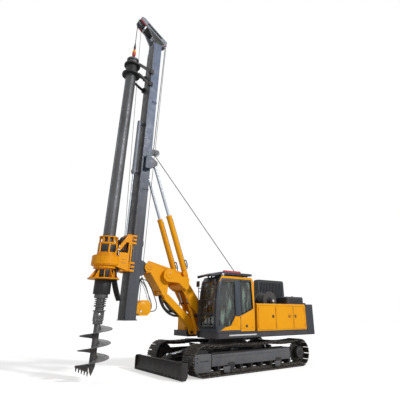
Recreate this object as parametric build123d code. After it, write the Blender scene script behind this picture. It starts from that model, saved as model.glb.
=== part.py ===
from build123d import *
import os
from math import atan2, cos, degrees, hypot, pi, radians, sin, tan

# Rotary piling rig on crawler tracks, in millimetres.  +X is forward, +Y left, +Z up.
# Working coordinates start on the slewing axis at ground level.  Every piece is moved back by
# ORIGIN_X when it is written, so the origin lies in the middle of the footprint, on the ground.

# ---------------------------------------------------------------- shared clearances
SEAT = 0.3             # running gap between curved faces that carry each other
PIN_GAP = 1.0          # play of a pin in its bore, on the radius
SIDE_GAP = 5.0         # side play between an eye and the ears beside it

# ---------------------------------------------------------------- crawler tracks
TRACK_Y = 1125.0       # middle of each track
SHOE_WIDTH = 600.0
SHOE_COUNT = 57
SHOE_PLATE = 20.0      # thickness of a shoe between its grousers
GROUSER = 25.0         # height of the bar on each shoe
LINK_HEIGHT = 75.0     # depth of the link rails inside the shoes
LINK_INNER = 45.0      # inner and outer face of each rail, from the middle of the track
LINK_OUTER = 85.0
END_RADIUS = 430.0     # idler and sprocket centres above the ground
IDLER_X = 1910.0
SPROCKET_X = -2200.0
TOP_SAG = 34.0         # droop of the upper run between its carrier rollers
ROLLER_RADIUS = 85.0
ROLLER_COUNT = 8
ROLLER_FRONT_X = 1330.0
ROLLER_REAR_X = -1700.0
CARRIER_RADIUS = 46.0
CARRIER_DROP = 20.0    # carrier rollers below the nominal line of the upper rails
CARRIER_X = (760.0, -900.0)
SPROCKET_TEETH = 23
HUB_RADIUS = 185.0     # round final drive in each sprocket
FRAME_HALF = 165.0     # half width of a track frame
FRAME_Z = (305.0, 610.0)
FRAME_X = (-1780.0, 1560.0)
GUARD_X = (1585.0, 2150.0)
ROLLER_GUARDS = (880.0, -1150.0)

# ---------------------------------------------------------------- centre frame and blade
CENTRE_HALF = 720.0    # half length of the centre frame
CENTRE_Z = (430.0, 790.0)
RING_RADIUS = 640.0    # slewing ring
RING_Z = (790.0, 970.0)
BLADE_HINGE = (1090.0, 400.0)
BLADE_ARM_Y = 455.0
BLADE_ARM_WIDTH = 120.0
BLADE_HALF = 1480.0
BLADE_X = 2700.0       # cutting edge
BLADE_Z = (20.0, 440.0)
BLADE_BASE = (1010.0, 715.0)   # foot of the blade cylinder
BLADE_EYE = (2330.0, 500.0)    # rod eye on the blade

# ---------------------------------------------------------------- revolving frame
DECK_X = (-2700.0, 1430.0)
DECK_HALF = 1330.0
DECK_Z = (970.0, 1150.0)
BAY_HALF = 305.0       # open bay between the boom foot plates
BAY_REAR_X = 900.0
FOOT_PLATE = 30.0      # thickness of the plates that carry the boom foot
TAIL_X = -3470.0       # back of the counterweight
WEIGHT_TOP = 2000.0

# ---------------------------------------------------------------- housings on the deck
HOUSING_WALL = 40.0
HOUSING_TOP = 2000.0
DOORWAY_POST = 12.0    # half width of the posts between doorways
HINGE_OUT = 12.0       # door hinge axes outside the wall
HINGE_PIN = 5.0
HINGE_TALL = 50.0
HINGE_Z = (1270.0, 1790.0)
LEFT_BAY_Y = 640.0     # inner side of the left housing
RIGHT_BAY_Y = -520.0   # inner side of the right housing
DOOR_GAP = 6.0
DOOR_Z = (1185.0, 1925.0)
HOOD_X = (-3330.0, -2350.0)
HOOD_Y = (-190.0, 770.0)
HOOD_HEIGHT = 290.0
HOOD_WALL = 25.0
HOOD_HINGE = 14.0      # radius of the hinge tubes along the rear edge of the hood
TOWER_X = (-3300.0, -1720.0)
TOWER_Y = (-440.0, -240.0)
TOWER_TOP = 2960.0
TOWER_SLATS = 15
MAIN_DRUM = (-1750.0, 2120.0)  # main winch drum, (x, z) of its shaft
MAIN_DRUM_Y = 190.0

# ---------------------------------------------------------------- cab
CAB_Y = (365.0, 1330.0)
CAB_WALL = 55.0
CAB_FLOOR = 1150.0
CAB_ROOF = 2800.0
CAB_FRONT = 1500.0
CAB_REAR = -110.0
GLASS = 8.0
GLASS_INSET = 22.0     # glass behind the outer face
DOOR_HINGE_X = 505.0   # rear edge of the cab door
CAB_HINGE = (DOOR_HINGE_X, CAB_Y[1] + HINGE_OUT)
CAB_HINGE_Z = (1260.0, 1580.0)

# ---------------------------------------------------------------- boom linkage, (x, z) of its pins
BOOM_FOOT = (1200.0, 1620.0)
BOOM_TIP = (2690.0, 2810.0)
LINK_FOOT = (1260.0, 1110.0)
MAST_PIVOT = (3340.0, 3020.0)
CYLINDER_FOOT = (2025.0, 2825.0)     # lower pins of the mast cylinders
CYLINDER_HEAD = (3520.0, 6500.0)     # their rod eyes on the mast
LUFF_FOOT = (1400.0, 1100.0)
LUFF_HEAD = (1985.0, 2440.0)
CYLINDER_Y = 325.0     # middle of each mast cylinder
LUFF_Y = 190.0
ARM_Y = (252.0, 298.0) # lower boom arms
EAR_Y = (375.0, 440.0) # upper boom ears
CHEEK_Y = (220.0, 278.0)       # triangle plates
LINK_HALF = 128.0
PIN_RADIUS = 45.0
EYE_HALF = 38.0        # half width of a cylinder eye
# Cylinders: barrel length from its pin, start of the tube, barrel radius, rod radius.
MAST_BARREL = (2085.0, 205.0, 90.0, 52.0)
LUFF_BARREL = (1010.0, 130.0, 48.0, 30.0)
BLADE_BARREL = (820.0, 90.0, 58.0, 32.0)

# ---------------------------------------------------------------- mast
MAST_X = (3620.0, 3960.0)
MAST_HALF = 250.0
MAST_Z = (1490.0, 11830.0)
MAST_WALL = 14.0
RAIL = (50.0, 40.0)    # guide rails on the front corners: width past the mast side, depth
CLAW_DEPTH = 40.0      # hook of a guide claw behind its rail
SHEAVE_RADIUS = 150.0
SHEAVE_PIN = 40.0
HEAD_HALF = 245.0      # outer face of the head beams
HEAD_BEAM = 70.0       # width of each head beam
HEAD_REAR = (3420.0, 12060.0)
HEAD_FRONT = (4600.0, 12830.0)
MID_SHEAVE = (3330.0, 7110.0)
AUX_DRUM = (3360.0, 1835.0)
AUX_HALF = 200.0

# Hoses: (x, z) of each point of a route, in order from its exit.
HOSE = 38.0
LINK_HOSE_Y = -170.0
LINK_HOSES = {
    "link_hose_outer": (
        (2550, 2160), (2550, 2040), (2520, 1930), (2440, 1832), (2320, 1755), (2170, 1712), (1980, 1712),
    ),
    "link_hose_inner": (
        (2470, 2160), (2470, 2050), (2440, 1950), (2375, 1868), (2275, 1808), (2140, 1780), (1980, 1780),
    ),
}
WINCH_HOSE_SIZE = 26.0
WINCH_HOSE = (
    (3620, 2655), (3480, 2655), (3350, 2632), (3240, 2525), (3155, 2385), (3080, 2230), (3000, 2085),
    (2950, 1965), (2935, 1870), (2957, 1787), (3027, 1740), (3145, 1740),
)

# ---------------------------------------------------------------- drive, Kelly bar and auger
KELLY_X = 4650.0
KELLY_RADIUS = 188.0
KELLY_WALL = 16.0
KELLY_TOP = 10740.0
GUIDE_TOP = 10480.0    # upper face of the Kelly guide, which carries a collar of the Kelly bar
DRIVE_GAP = 12.0       # sleeve of the drive round the Kelly bar
GEARBOX_Z = (2980.0, 3270.0)
GEARBOX_RADIUS = 410.0
BELL_Z = 2600.0        # lower face of the casing flange
BELL_RADIUS = 450.0
BELL_BOLTS = 12
BELL_BOLT_CIRCLE = 400.0
BELL_BOLT_HOLE = 14.0
SLEEVE_Z = 2200.0
CAGE_TOP = 3840.0
CHEEK_HALF = 315.0     # outer face of the carriage plates
CHEEK_PLATE = 35.0
STUB_HALF = 115.0      # square stub below the Kelly bar
AUGER_RADIUS = 430.0
AUGER_STEM = 85.0
AUGER_PITCH = 400.0
AUGER_Z = (560.0, 1380.0)
AUGER_PLATE = 22.0
TIP_Z = 160.0
PRESS_X = 4105.0       # pull-down cylinder on the front of the mast
PRESS_Z = (6100.0, 8180.0)
PRESS_RADIUS = 70.0
PRESS_ROD = 35.0

ORIGIN_X = (KELLY_X + BELL_RADIUS + TAIL_X) / 2


# ================================================================ shape helpers
def block(x, y, z):
    """Upright block from (low, high) pairs."""
    size = Box(x[1] - x[0], y[1] - y[0], z[1] - z[0])
    return Pos((x[0] + x[1]) / 2, (y[0] + y[1]) / 2, (z[0] + z[1]) / 2) * size


def bar(start, end, radius):
    """Round bar between two points."""
    path = Vector(end) - Vector(start)
    seat = (Align.CENTER, Align.CENTER, Align.MIN)
    return Plane(origin=start, z_dir=path) * Cylinder(radius, path.length, align=seat)


def pin(at, radius, y):
    """Round bar across the machine through (x, z)."""
    return bar((at[0], y[0], at[1]), (at[0], y[1], at[1]), radius)


def post(x, y, radius, z):
    """Round upright bar."""
    return bar((x, y, z[0]), (x, y, z[1]), radius)


def outline(points, corner=0.0):
    """Flat face from corner points, all corners rounded when a radius is given."""
    face = make_face(Polyline(*points, close=True))
    return fillet(face.vertices(), corner) if corner else face


def side_plate(sketch, y):
    """Outline drawn in (x, z), as thick as the (low, high) pair across the machine."""
    return Pos(0, y[1], 0) * extrude(Plane.XZ * sketch, amount=y[1] - y[0])


def cross_plate(sketch, x):
    """Outline drawn in (y, z), as thick as the (low, high) pair along the machine."""
    return Pos(x[0], 0, 0) * extrude(Plane.YZ * sketch, amount=x[1] - x[0])


def plan_plate(sketch, z):
    """Outline drawn in (x, y), as thick as the (low, high) pair in height."""
    return Pos(0, 0, z[0]) * extrude(sketch, amount=z[1] - z[0])


def disc(at, radius):
    """Circle in a sketch."""
    return Pos(*at) * Circle(radius)


def strap(start, start_radius, end, end_radius):
    """Sketch of two round ends joined by their tangents."""
    dx, dz = end[0] - start[0], end[1] - start[1]
    span = hypot(dx, dz)
    lean = atan2(dz, dx)
    half = pi / 2 - atan2(end_radius - start_radius, span)
    corners = []
    for at, radius, turn in (
        (start, start_radius, half), (end, end_radius, half), (end, end_radius, -half), (start, start_radius, -half)
    ):
        corners.append((at[0] + radius * cos(lean + turn), at[1] + radius * sin(lean + turn)))
    return outline(corners) + disc(start, start_radius) + disc(end, end_radius)


def both_sides(shape):
    """The shape and its mirror image across the middle plane."""
    return [shape, mirror(shape, about=Plane.XZ)]


def spread(y):
    """The (low, high) pair on the left and on the right side."""
    return [(y[0], y[1]), (-y[1], -y[0])]


def spaced(first, last, count):
    """Evenly spaced places from first to last."""
    return [first + (last - first) * i / (count - 1) for i in range(count)]


def along(start, end, distance):
    """Point on the line from start towards end."""
    span = hypot(end[0] - start[0], end[1] - start[1])
    share = distance / span
    return (start[0] + (end[0] - start[0]) * share, start[1] + (end[1] - start[1]) * share)


def ring(x, y, outer, inner, z):
    """Upright tube."""
    return post(x, y, outer, z) - post(x, y, inner, (z[0] - 1, z[1] + 1))


def save(name, *solids):
    """Write one piece, moved from the slewing axis to the part's origin."""
    shapes = []
    for item in solids:
        shapes.extend(item.solids())
    piece = Compound(children=[Pos(-ORIGIN_X, 0, 0) * solid for solid in shapes])
    export_step(piece, f"parts/{name}.step")


# ================================================================ crawler tracks
def track_pitch():
    """Length of one shoe along the loop."""
    return 2 * (IDLER_X - SPROCKET_X + pi * (END_RADIUS - GROUSER - SHOE_PLATE)) / SHOE_COUNT


def track_path():
    """Middle of each shoe on the loop at its inner face: x, z, outward direction."""
    radius = END_RADIUS - GROUSER - SHOE_PLATE
    wheelbase = IDLER_X - SPROCKET_X
    arc = pi * radius
    total = track_pitch() * SHOE_COUNT
    supports = [IDLER_X, *CARRIER_X, SPROCKET_X]
    places = []
    for index in range(SHOE_COUNT):
        s = (index + 0.5) * total / SHOE_COUNT
        if s < wheelbase:
            places.append((SPROCKET_X + s, END_RADIUS - radius, -pi / 2))
            continue
        s -= wheelbase
        if s < arc:
            turn = s / radius - pi / 2
            places.append((IDLER_X + radius * cos(turn), END_RADIUS + radius * sin(turn), turn))
            continue
        s -= arc
        if s < wheelbase:
            x = IDLER_X - s
            ends = [pair for pair in zip(supports, supports[1:]) if pair[0] >= x >= pair[1]][0]
            share = (x - ends[0]) / (ends[1] - ends[0])
            places.append((x, END_RADIUS + radius - 4 * TOP_SAG * share * (1 - share), pi / 2))
            continue
        turn = (s - wheelbase) / radius + pi / 2
        places.append((SPROCKET_X + radius * cos(turn), END_RADIUS + radius * sin(turn), turn))
    return places


def track(side):
    """One loop: shoes with their grousers, and the two link rails inside them."""
    places = track_path()
    shoes, rails = [], []
    half_pitch = track_pitch() / 2 * 0.98
    # Each row: distance along the shoe as a share of its half pitch, height above the inner face.
    profile = (
        (-0.98, SHOE_PLATE), (-0.62, SHOE_PLATE), (-0.52, SHOE_PLATE + GROUSER),
        (-0.36, SHOE_PLATE + GROUSER), (-0.26, SHOE_PLATE),
    )
    for x, z, turn in places:
        for share, height in profile:
            step = share * half_pitch
            shoes.append((x + height * cos(turn) - step * sin(turn), z + height * sin(turn) + step * cos(turn)))
    inner = [(x, z) for x, z, turn in places]
    for x, z, turn in places:
        rails.append((x - LINK_HEIGHT * cos(turn), z - LINK_HEIGHT * sin(turn)))
    shoe_ring = outline(shoes) - outline(inner)
    rail_ring = outline(inner) - outline(rails)
    y = side * TRACK_Y
    loop = side_plate(shoe_ring, (y - SHOE_WIDTH / 2, y + SHOE_WIDTH / 2))
    for low in (-LINK_OUTER, LINK_INNER):
        loop = loop + side_plate(rail_ring, (y + low, y + low + LINK_OUTER - LINK_INNER))
    return loop


def rollers():
    """Bottom rollers, carrier rollers, idlers and sprockets, each kind on both sides."""
    rail_top = GROUSER + SHOE_PLATE + LINK_HEIGHT
    pitch = track_pitch()
    chord = cos(pitch / (END_RADIUS - GROUSER - SHOE_PLATE) / 2)
    wheel = (END_RADIUS - rail_top) * chord
    bottom, carriers, idlers, sprockets = [], [], [], []
    for side in (1, -1):
        y = side * TRACK_Y
        for x in spaced(ROLLER_FRONT_X, ROLLER_REAR_X, ROLLER_COUNT):
            at = (x, rail_top + SEAT + ROLLER_RADIUS)
            roller = pin(at, ROLLER_RADIUS, (y - LINK_OUTER, y + LINK_OUTER))
            roller = roller + pin(at, 34, (y - FRAME_HALF + 22, y + FRAME_HALF - 22))
            bottom.append(roller)
        top = 2 * END_RADIUS - rail_top
        for x in CARRIER_X:
            at = (x, top - CARRIER_DROP - CARRIER_RADIUS)
            spindle_y = sorted((y - side * LINK_OUTER, y - side * (LINK_OUTER + 50)))
            carrier = pin(at, CARRIER_RADIUS, (y - LINK_OUTER, y + LINK_OUTER)) + pin(at, 26, spindle_y)
            carriers.append(carrier)
        at = (IDLER_X, END_RADIUS)
        idler = pin(at, wheel - SEAT, (y - LINK_OUTER, y + LINK_OUTER))
        idler = idler + pin(at, wheel + 25, (y - LINK_INNER + 6, y + LINK_INNER - 6))
        idler = idler + pin(at, 70, (y - 105, y + 105))
        idlers.append(idler)
        teeth = disc((SPROCKET_X, END_RADIUS), wheel - 22)
        for i in range(SPROCKET_TEETH):
            turn = 2 * pi * i / SPROCKET_TEETH
            root = (SPROCKET_X + (wheel - 30) * cos(turn), END_RADIUS + (wheel - 30) * sin(turn))
            tip = (SPROCKET_X + (wheel + 26) * cos(turn), END_RADIUS + (wheel + 26) * sin(turn))
            teeth = teeth + strap(root, 21, tip, 9)
        sprocket = side_plate(teeth, (y - 30, y + 30))
        hub_y = sorted((y - side * (FRAME_HALF - 30), y + side * 215))
        hub = pin((SPROCKET_X, END_RADIUS), HUB_RADIUS, hub_y)
        sprockets.append(sprocket + hub)
    return bottom, carriers, idlers, sprockets


def track_frame(side):
    """Box frame of one track, with its chamfered back, idler box, roller mounts and carrier posts."""
    y = side * TRACK_Y
    low, high = FRAME_Z
    section = [
        (y - FRAME_HALF, low), (y + FRAME_HALF, low), (y + FRAME_HALF, high - 110),
        (y + FRAME_HALF - 70, high), (y - FRAME_HALF + 70, high), (y - FRAME_HALF, high - 110),
    ]
    frame = cross_plate(outline(section), FRAME_X)
    roller_z = GROUSER + SHOE_PLATE + LINK_HEIGHT + SEAT + ROLLER_RADIUS
    for x in spaced(ROLLER_FRONT_X, ROLLER_REAR_X, ROLLER_COUNT):
        for low_y in (-FRAME_HALF, FRAME_HALF - 50):
            ear = block((x - 48, x + 48), (y + low_y, y + low_y + 50), (roller_z - 42, low))
            frame = frame + (ear - pin((x, roller_z), 34 + PIN_GAP, (y - 300, y + 300)))
    for x in ROLLER_GUARDS:
        for low_y in (-FRAME_HALF - 22, FRAME_HALF):
            guard = outline([
                (x - 150, low + 30), (x + 150, low + 30), (x + 110, 150), (x - 110, 150),
            ], 25)
            frame = frame + side_plate(guard, (y + low_y, y + low_y + 22))
    for low_y in (-FRAME_HALF, FRAME_HALF - 30):
        cheek = outline([
            (GUARD_X[0] - 80, low), (GUARD_X[1] - 60, 215), (GUARD_X[1], 290), (GUARD_X[1], 560),
            (GUARD_X[1] - 60, 610), (GUARD_X[0] - 80, high - 20),
        ])
        plate = side_plate(cheek, (y + low_y, y + low_y + 30))
        frame = frame + (plate - pin((IDLER_X, END_RADIUS), 70 + PIN_GAP, (y - 300, y + 300)))
    rear = outline([
        (FRAME_X[0] + 10, low + 10), (FRAME_X[0] + 10, high - 120), (SPROCKET_X + 160, high - 60),
        (SPROCKET_X - 40, END_RADIUS + 100), (SPROCKET_X - 40, END_RADIUS - 100), (SPROCKET_X + 160, low + 20),
    ])
    inner_low = y - side * FRAME_HALF
    plate_y = sorted((inner_low, inner_low + side * 30))
    frame = frame + side_plate(rear, plate_y)
    for x in CARRIER_X:
        top = 2 * END_RADIUS - GROUSER - SHOE_PLATE - LINK_HEIGHT
        roller_at = (x, top - CARRIER_DROP - CARRIER_RADIUS)
        post_y = sorted((y - side * (LINK_OUTER + 5), y - side * (LINK_OUTER + 45)))
        carrier_post = block((x - 40, x + 40), post_y, (high - 60, roller_at[1] + 42))
        frame = frame + (carrier_post - pin(roller_at, 26 + SEAT, (y - 300, y + 300)))
    return frame


def centre_frame():
    """Car body between the tracks, its four legs, the ring pedestal and the blade lugs."""
    low, high = CENTRE_Z
    frame = block((-CENTRE_HALF, CENTRE_HALF), (-640, 640), (low, high - 40))
    reach = TRACK_Y - FRAME_HALF
    for end in (1, -1):
        leg = outline([
            (end * 250, 500), (end * 330, reach), (end * 760, reach), (end * 700, 500),
        ])
        for shape in both_sides(plan_plate(leg, (low + 40, high - 110))):
            frame = frame + shape
    frame = frame + post(0, 0, RING_RADIUS + 20, (high - 60, high))
    for side in (1, -1):
        for offset in (-BLADE_ARM_WIDTH / 2 - SIDE_GAP - 30, BLADE_ARM_WIDTH / 2 + SIDE_GAP):
            y = side * BLADE_ARM_Y + offset
            lug = strap((CENTRE_HALF - 40, 560), 110, BLADE_HINGE, 70)
            plate = side_plate(lug, (y, y + 30))
            frame = frame + (plate - pin(BLADE_HINGE, PIN_RADIUS + PIN_GAP, (y - 1, y + 31)))
    for y in ((-80, -EYE_HALF - SIDE_GAP), (EYE_HALF + SIDE_GAP, 80)):
        lug = strap((CENTRE_HALF - 60, 640), 70, BLADE_BASE, 55)
        frame = frame + side_plate(lug, y)
    return frame + pin(BLADE_BASE, 30, (-80, 80))


# ================================================================ blade and cylinders
def blade():
    """Curved dozing blade with end plates, its two push arms and the cylinder lug."""
    low, high = BLADE_Z
    back = BLADE_X - 95
    mid = (low + high) / 2
    front = Polyline((BLADE_X, low), (BLADE_X + 12, low + 70))
    hollow = ThreePointArc((BLADE_X + 12, low + 70), (BLADE_X - 62, mid + 20), (BLADE_X - 8, high))
    rear = Polyline(
        (BLADE_X - 8, high), (back, high), (back - 60, mid + 60), (back - 60, low + 90), (BLADE_X, low)
    )
    section = make_face([*front.edges(), *hollow.edges(), *rear.edges()])
    board = side_plate(section, (-BLADE_HALF + 22, BLADE_HALF - 22))
    end = outline([
        (BLADE_X + 20, low), (BLADE_X + 30, high - 40), (BLADE_X - 10, high), (back - 65, high),
        (back - 80, low + 90), (back - 20, low),
    ])
    for y in spread((BLADE_HALF - 22, BLADE_HALF)):
        board = board + side_plate(end, y)
    arm = outline([
        (BLADE_HINGE[0], BLADE_HINGE[1] - 62), (BLADE_HINGE[0], BLADE_HINGE[1] + 62),
        (back - 30, mid + 90), (back - 30, mid - 60),
    ]) + disc(BLADE_HINGE, 62)
    half = BLADE_ARM_WIDTH / 2
    for y in (BLADE_ARM_Y, -BLADE_ARM_Y):
        board = board + side_plate(arm, (y - half, y + half))
        board = board + pin(BLADE_HINGE, PIN_RADIUS, (y - half - SIDE_GAP - 30, y + half + SIDE_GAP + 30))
    web = block((back - 540, back - 400), (-BLADE_ARM_Y, BLADE_ARM_Y), (mid - 30, mid + 80))
    board = board + web
    for y in ((-80, -EYE_HALF - SIDE_GAP), (EYE_HALF + SIDE_GAP, 80)):
        lug = outline([
            (BLADE_EYE[0] - 45, BLADE_EYE[1]), (BLADE_EYE[0] - 45, mid - 20), (back - 40, mid - 20),
            (back - 40, high - 30), (BLADE_EYE[0] + 45, BLADE_EYE[1] + 20),
        ]) + disc(BLADE_EYE, 50)
        board = board + side_plate(lug, y)
    return board


def barrel(foot, head, size, y, foot_pin):
    """Cylinder barrel with its foot eye, neck, gland ring and bore, open at the rod end."""
    length, tube_start, radius, rod_radius = size
    eye = strap(foot, foot_pin + 35, along(foot, head, tube_start + 20), min(radius, foot_pin + 35))
    start, end = along(foot, head, tube_start), along(foot, head, length)
    gland_at = along(foot, head, length - 70)
    tube = bar((start[0], y, start[1]), (end[0], y, end[1]), radius)
    tube = tube + bar((gland_at[0], y, gland_at[1]), (end[0], y, end[1]), radius * 1.05)
    bore_at, past = along(foot, head, tube_start + 60), along(foot, head, length + 10)
    bore = bar((bore_at[0], y, bore_at[1]), (past[0], y, past[1]), rod_radius + PIN_GAP)
    neck = side_plate(eye, (y - EYE_HALF, y + EYE_HALF)) - pin(foot, foot_pin + PIN_GAP, (y - 200, y + 200))
    return (tube + neck) - bore


def piston_rod(foot, head, size, y, inside, head_pin, stub):
    """Chrome rod from inside its barrel to its eye, with the eye's pin stub."""
    length, tube_start, radius, rod_radius = size
    start = along(foot, head, length - inside)
    span = hypot(head[0] - foot[0], head[1] - foot[1])
    end = along(foot, head, span - head_pin - 55)
    rod = bar((start[0], y, start[1]), (end[0], y, end[1]), rod_radius)
    knuckle = strap(along(foot, head, span - head_pin - 65), rod_radius * 0.9, head, head_pin + 28)
    rod = rod + side_plate(knuckle, (y - EYE_HALF, y + EYE_HALF))
    return rod + pin(head, head_pin, (y - EYE_HALF - stub, y + EYE_HALF + stub))


# ================================================================ revolving frame
def main_frame():
    """Deck with its open front bay, the boom foot plates and their pins."""
    low, high = DECK_Z
    deck = outline([
        (DECK_X[0], -DECK_HALF), (DECK_X[1] - 60, -DECK_HALF), (DECK_X[1], -DECK_HALF + 60),
        (DECK_X[1], DECK_HALF - 60), (DECK_X[1] - 60, DECK_HALF), (DECK_X[0], DECK_HALF),
    ])
    frame = plan_plate(deck, DECK_Z)
    hollow = block((DECK_X[0] + 60, -740), (-DECK_HALF + 60, DECK_HALF - 60), (low - 1, high - 30))
    frame = frame - hollow
    for y in ((BAY_HALF + 60, DECK_HALF - 60), (-DECK_HALF + 60, -BAY_HALF - 60)):
        frame = frame - block((BAY_REAR_X - 100, DECK_X[1] - 60), y, (low - 1, high - 30))
    frame = frame - block((BAY_REAR_X, DECK_X[1] + 1), (-BAY_HALF, BAY_HALF), (low - 1, high + 1))
    plate = outline([
        (-1300, high - 20), (-1300, high + 180), (500, high + 260), (BOOM_FOOT[0] - 150, BOOM_FOOT[1] + 60),
        (BOOM_FOOT[0] + 150, BOOM_FOOT[1] + 60), (DECK_X[1] + 40, high + 120), (DECK_X[1] + 40, low),
        (BAY_REAR_X, low), (BAY_REAR_X, high - 20),
    ]) + disc(BOOM_FOOT, 165)
    plate = plate + strap(LINK_FOOT, 95, (LUFF_FOOT[0] + 20, LUFF_FOOT[1]), 95)
    for y in spread((BAY_HALF, BAY_HALF + FOOT_PLATE)):
        frame = frame + side_plate(plate, y)
    frame = frame + block((BAY_REAR_X - 40, BAY_REAR_X), (-BAY_HALF, BAY_HALF), (low, high + 280))
    reach = BAY_HALF + FOOT_PLATE
    for at, radius in ((BOOM_FOOT, PIN_RADIUS + 10), (LINK_FOOT, PIN_RADIUS)):
        frame = frame + pin(at, radius, (-reach, reach))
    for y in spread((LUFF_Y - EYE_HALF - 4, reach)):
        frame = frame + pin(LUFF_FOOT, PIN_RADIUS - 5, y)
    return frame


def counterweight():
    """Cast block behind the engine, rounded at the corners, with its lower lip and lifting eyes."""
    front = DECK_X[0]
    plan = outline([
        (front, -DECK_HALF), (TAIL_X + 330, -DECK_HALF), (TAIL_X + 90, -DECK_HALF + 210),
        (TAIL_X, -DECK_HALF + 560), (TAIL_X, DECK_HALF - 560), (TAIL_X + 90, DECK_HALF - 210),
        (TAIL_X + 330, DECK_HALF), (front, DECK_HALF),
    ])
    plan = fillet(plan.vertices().filter_by(lambda corner: corner.X < front - 10), 150)
    weight = plan_plate(plan, (DECK_Z[0], WEIGHT_TOP))
    profile = outline([
        (front + 10, DECK_Z[0] - 10), (TAIL_X + 45, DECK_Z[0] - 10), (TAIL_X, DECK_Z[0] + 50),
        (TAIL_X, 1310), (TAIL_X + 70, 1370), (TAIL_X + 60, WEIGHT_TOP - 120),
        (TAIL_X + 210, WEIGHT_TOP), (front + 10, WEIGHT_TOP + 10),
    ])
    weight = weight & side_plate(profile, (-DECK_HALF, DECK_HALF))
    for y in (-620, 960):
        lug = outline([(TAIL_X + 300, WEIGHT_TOP - 20), (TAIL_X + 300, WEIGHT_TOP + 60),
                       (TAIL_X + 420, WEIGHT_TOP + 60), (TAIL_X + 420, WEIGHT_TOP - 20)], 20)
        lug = lug - disc((TAIL_X + 360, WEIGHT_TOP + 28), 18)
        weight = weight + side_plate(lug, (y - 20, y + 20))
    return weight


def housing(x, y, openings, open_side):
    """Sheet housing on the deck: hollow, with one doorway and its hinges for each row of openings."""
    shell = block(x, y, (DECK_Z[1], HOUSING_TOP))
    edges = shell.edges().filter_by(Axis.X).sort_by(Axis.Z)[-2:]
    outer = edges.sort_by(Axis.Y)[-1] if open_side > 0 else edges.sort_by(Axis.Y)[0]
    shell = fillet(outer, 55)
    wall = HOUSING_WALL
    shell = shell - block((x[0] + wall, x[1] - wall), (y[0] + wall, y[1] - wall), (DECK_Z[1] - 1, HOUSING_TOP - wall))
    face = y[1] if open_side > 0 else y[0]
    for front, rear, at_front in openings:
        reach = sorted((face - open_side * (wall + 20), face + open_side * 10))
        doorway = (rear + DOORWAY_POST, front - DOORWAY_POST)
        shell = shell - block(doorway, reach, (DOOR_Z[0] - DOOR_GAP, DOOR_Z[1] + DOOR_GAP))
        hinge = hinge_line(front - DOORWAY_POST, rear + DOORWAY_POST, open_side, at_front)
        shell = shell + hinge_brackets(*hinge, face, HINGE_Z)
    return shell


def hinge_line(front, rear, open_side, at_front):
    """Axis (x, y) of a service door's hinges, and the direction from it towards the door."""
    y = open_side * (DECK_HALF + HINGE_OUT)
    return (front - DOOR_GAP, y, -1) if at_front else (rear + DOOR_GAP, y, 1)


def knuckles(x, y, toward, face, reach):
    """Hinge knuckles and leaves of a door: bored for their pins, leaf lying on the door's face."""
    shape = None
    for z in reach:
        leaf = block(sorted((x, x + toward * reach[z])), sorted((face, face + (y - face) * 0.5)), (z, z + HINGE_TALL))
        leaf = leaf + post(x, y, HINGE_OUT - 1, (z, z + HINGE_TALL))
        leaf = leaf - post(x, y, HINGE_PIN + SEAT, (z - 1, z + HINGE_TALL + 1))
        shape = leaf if shape is None else shape + leaf
    return shape


def hinge_brackets(x, y, toward, face, heights):
    """Fixed halves of the hinges: a pin between two short brackets on the wall beside the door."""
    shape = None
    out = 1 if y > face else -1
    for z in heights:
        for low in (z - 14, z + HINGE_TALL + 2):
            step = block(sorted((x - toward * DOOR_GAP, x - toward * 28)), sorted((face, y + out * 8)), (low, low + 12))
            step = step + block(sorted((x + toward * 7, x - toward * DOOR_GAP)), sorted((face + out * 3, y + out * 8)),
                                (low, low + 12))
            shape = step if shape is None else shape + step
        shape = shape + post(x, y, HINGE_PIN, (z - 14, z + HINGE_TALL + 14))
    return shape


def housing_door(front, rear, open_side, at_front):
    """Flat service door with rounded corners and a square recess for its latch."""
    face = open_side * DECK_HALF
    y = sorted((face, face - open_side * HOUSING_WALL))
    sheet = outline([
        (rear + DOOR_GAP, DOOR_Z[0]), (front - DOOR_GAP, DOOR_Z[0]),
        (front - DOOR_GAP, DOOR_Z[1]), (rear + DOOR_GAP, DOOR_Z[1]),
    ], 18)
    door = side_plate(sheet, y)
    latch_x = latch_place(front, rear, at_front)
    pocket = block((latch_x - 42, latch_x + 42), sorted((face + 1, face - open_side * 15)), (1550, 1630))
    grip = block((latch_x - 26, latch_x + 26), sorted((face - 15 * open_side, face - 2 * open_side)), (1562, 1600))
    hinge = hinge_line(front, rear, open_side, at_front)
    return (door - pocket + grip) + knuckles(*hinge, face, {z: 70 for z in HINGE_Z})


# Service doors: name, front edge, rear edge, side, hinge at the front edge.
DOORS = (
    ("side_door_front", -270.0, -1120.0, 1, True),
    ("side_door_middle", -1120.0, -2020.0, 1, True),
    ("side_door_rear", -2020.0, -2650.0, 1, False),
    ("right_door_front", -950.0, -1800.0, -1, True),
    ("right_door_rear", -1800.0, -2650.0, -1, False),
)


def latch_place(front, rear, hinge_front):
    """Latch next to the free edge of a service door."""
    return rear + 130 if hinge_front else front - 110


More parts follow.
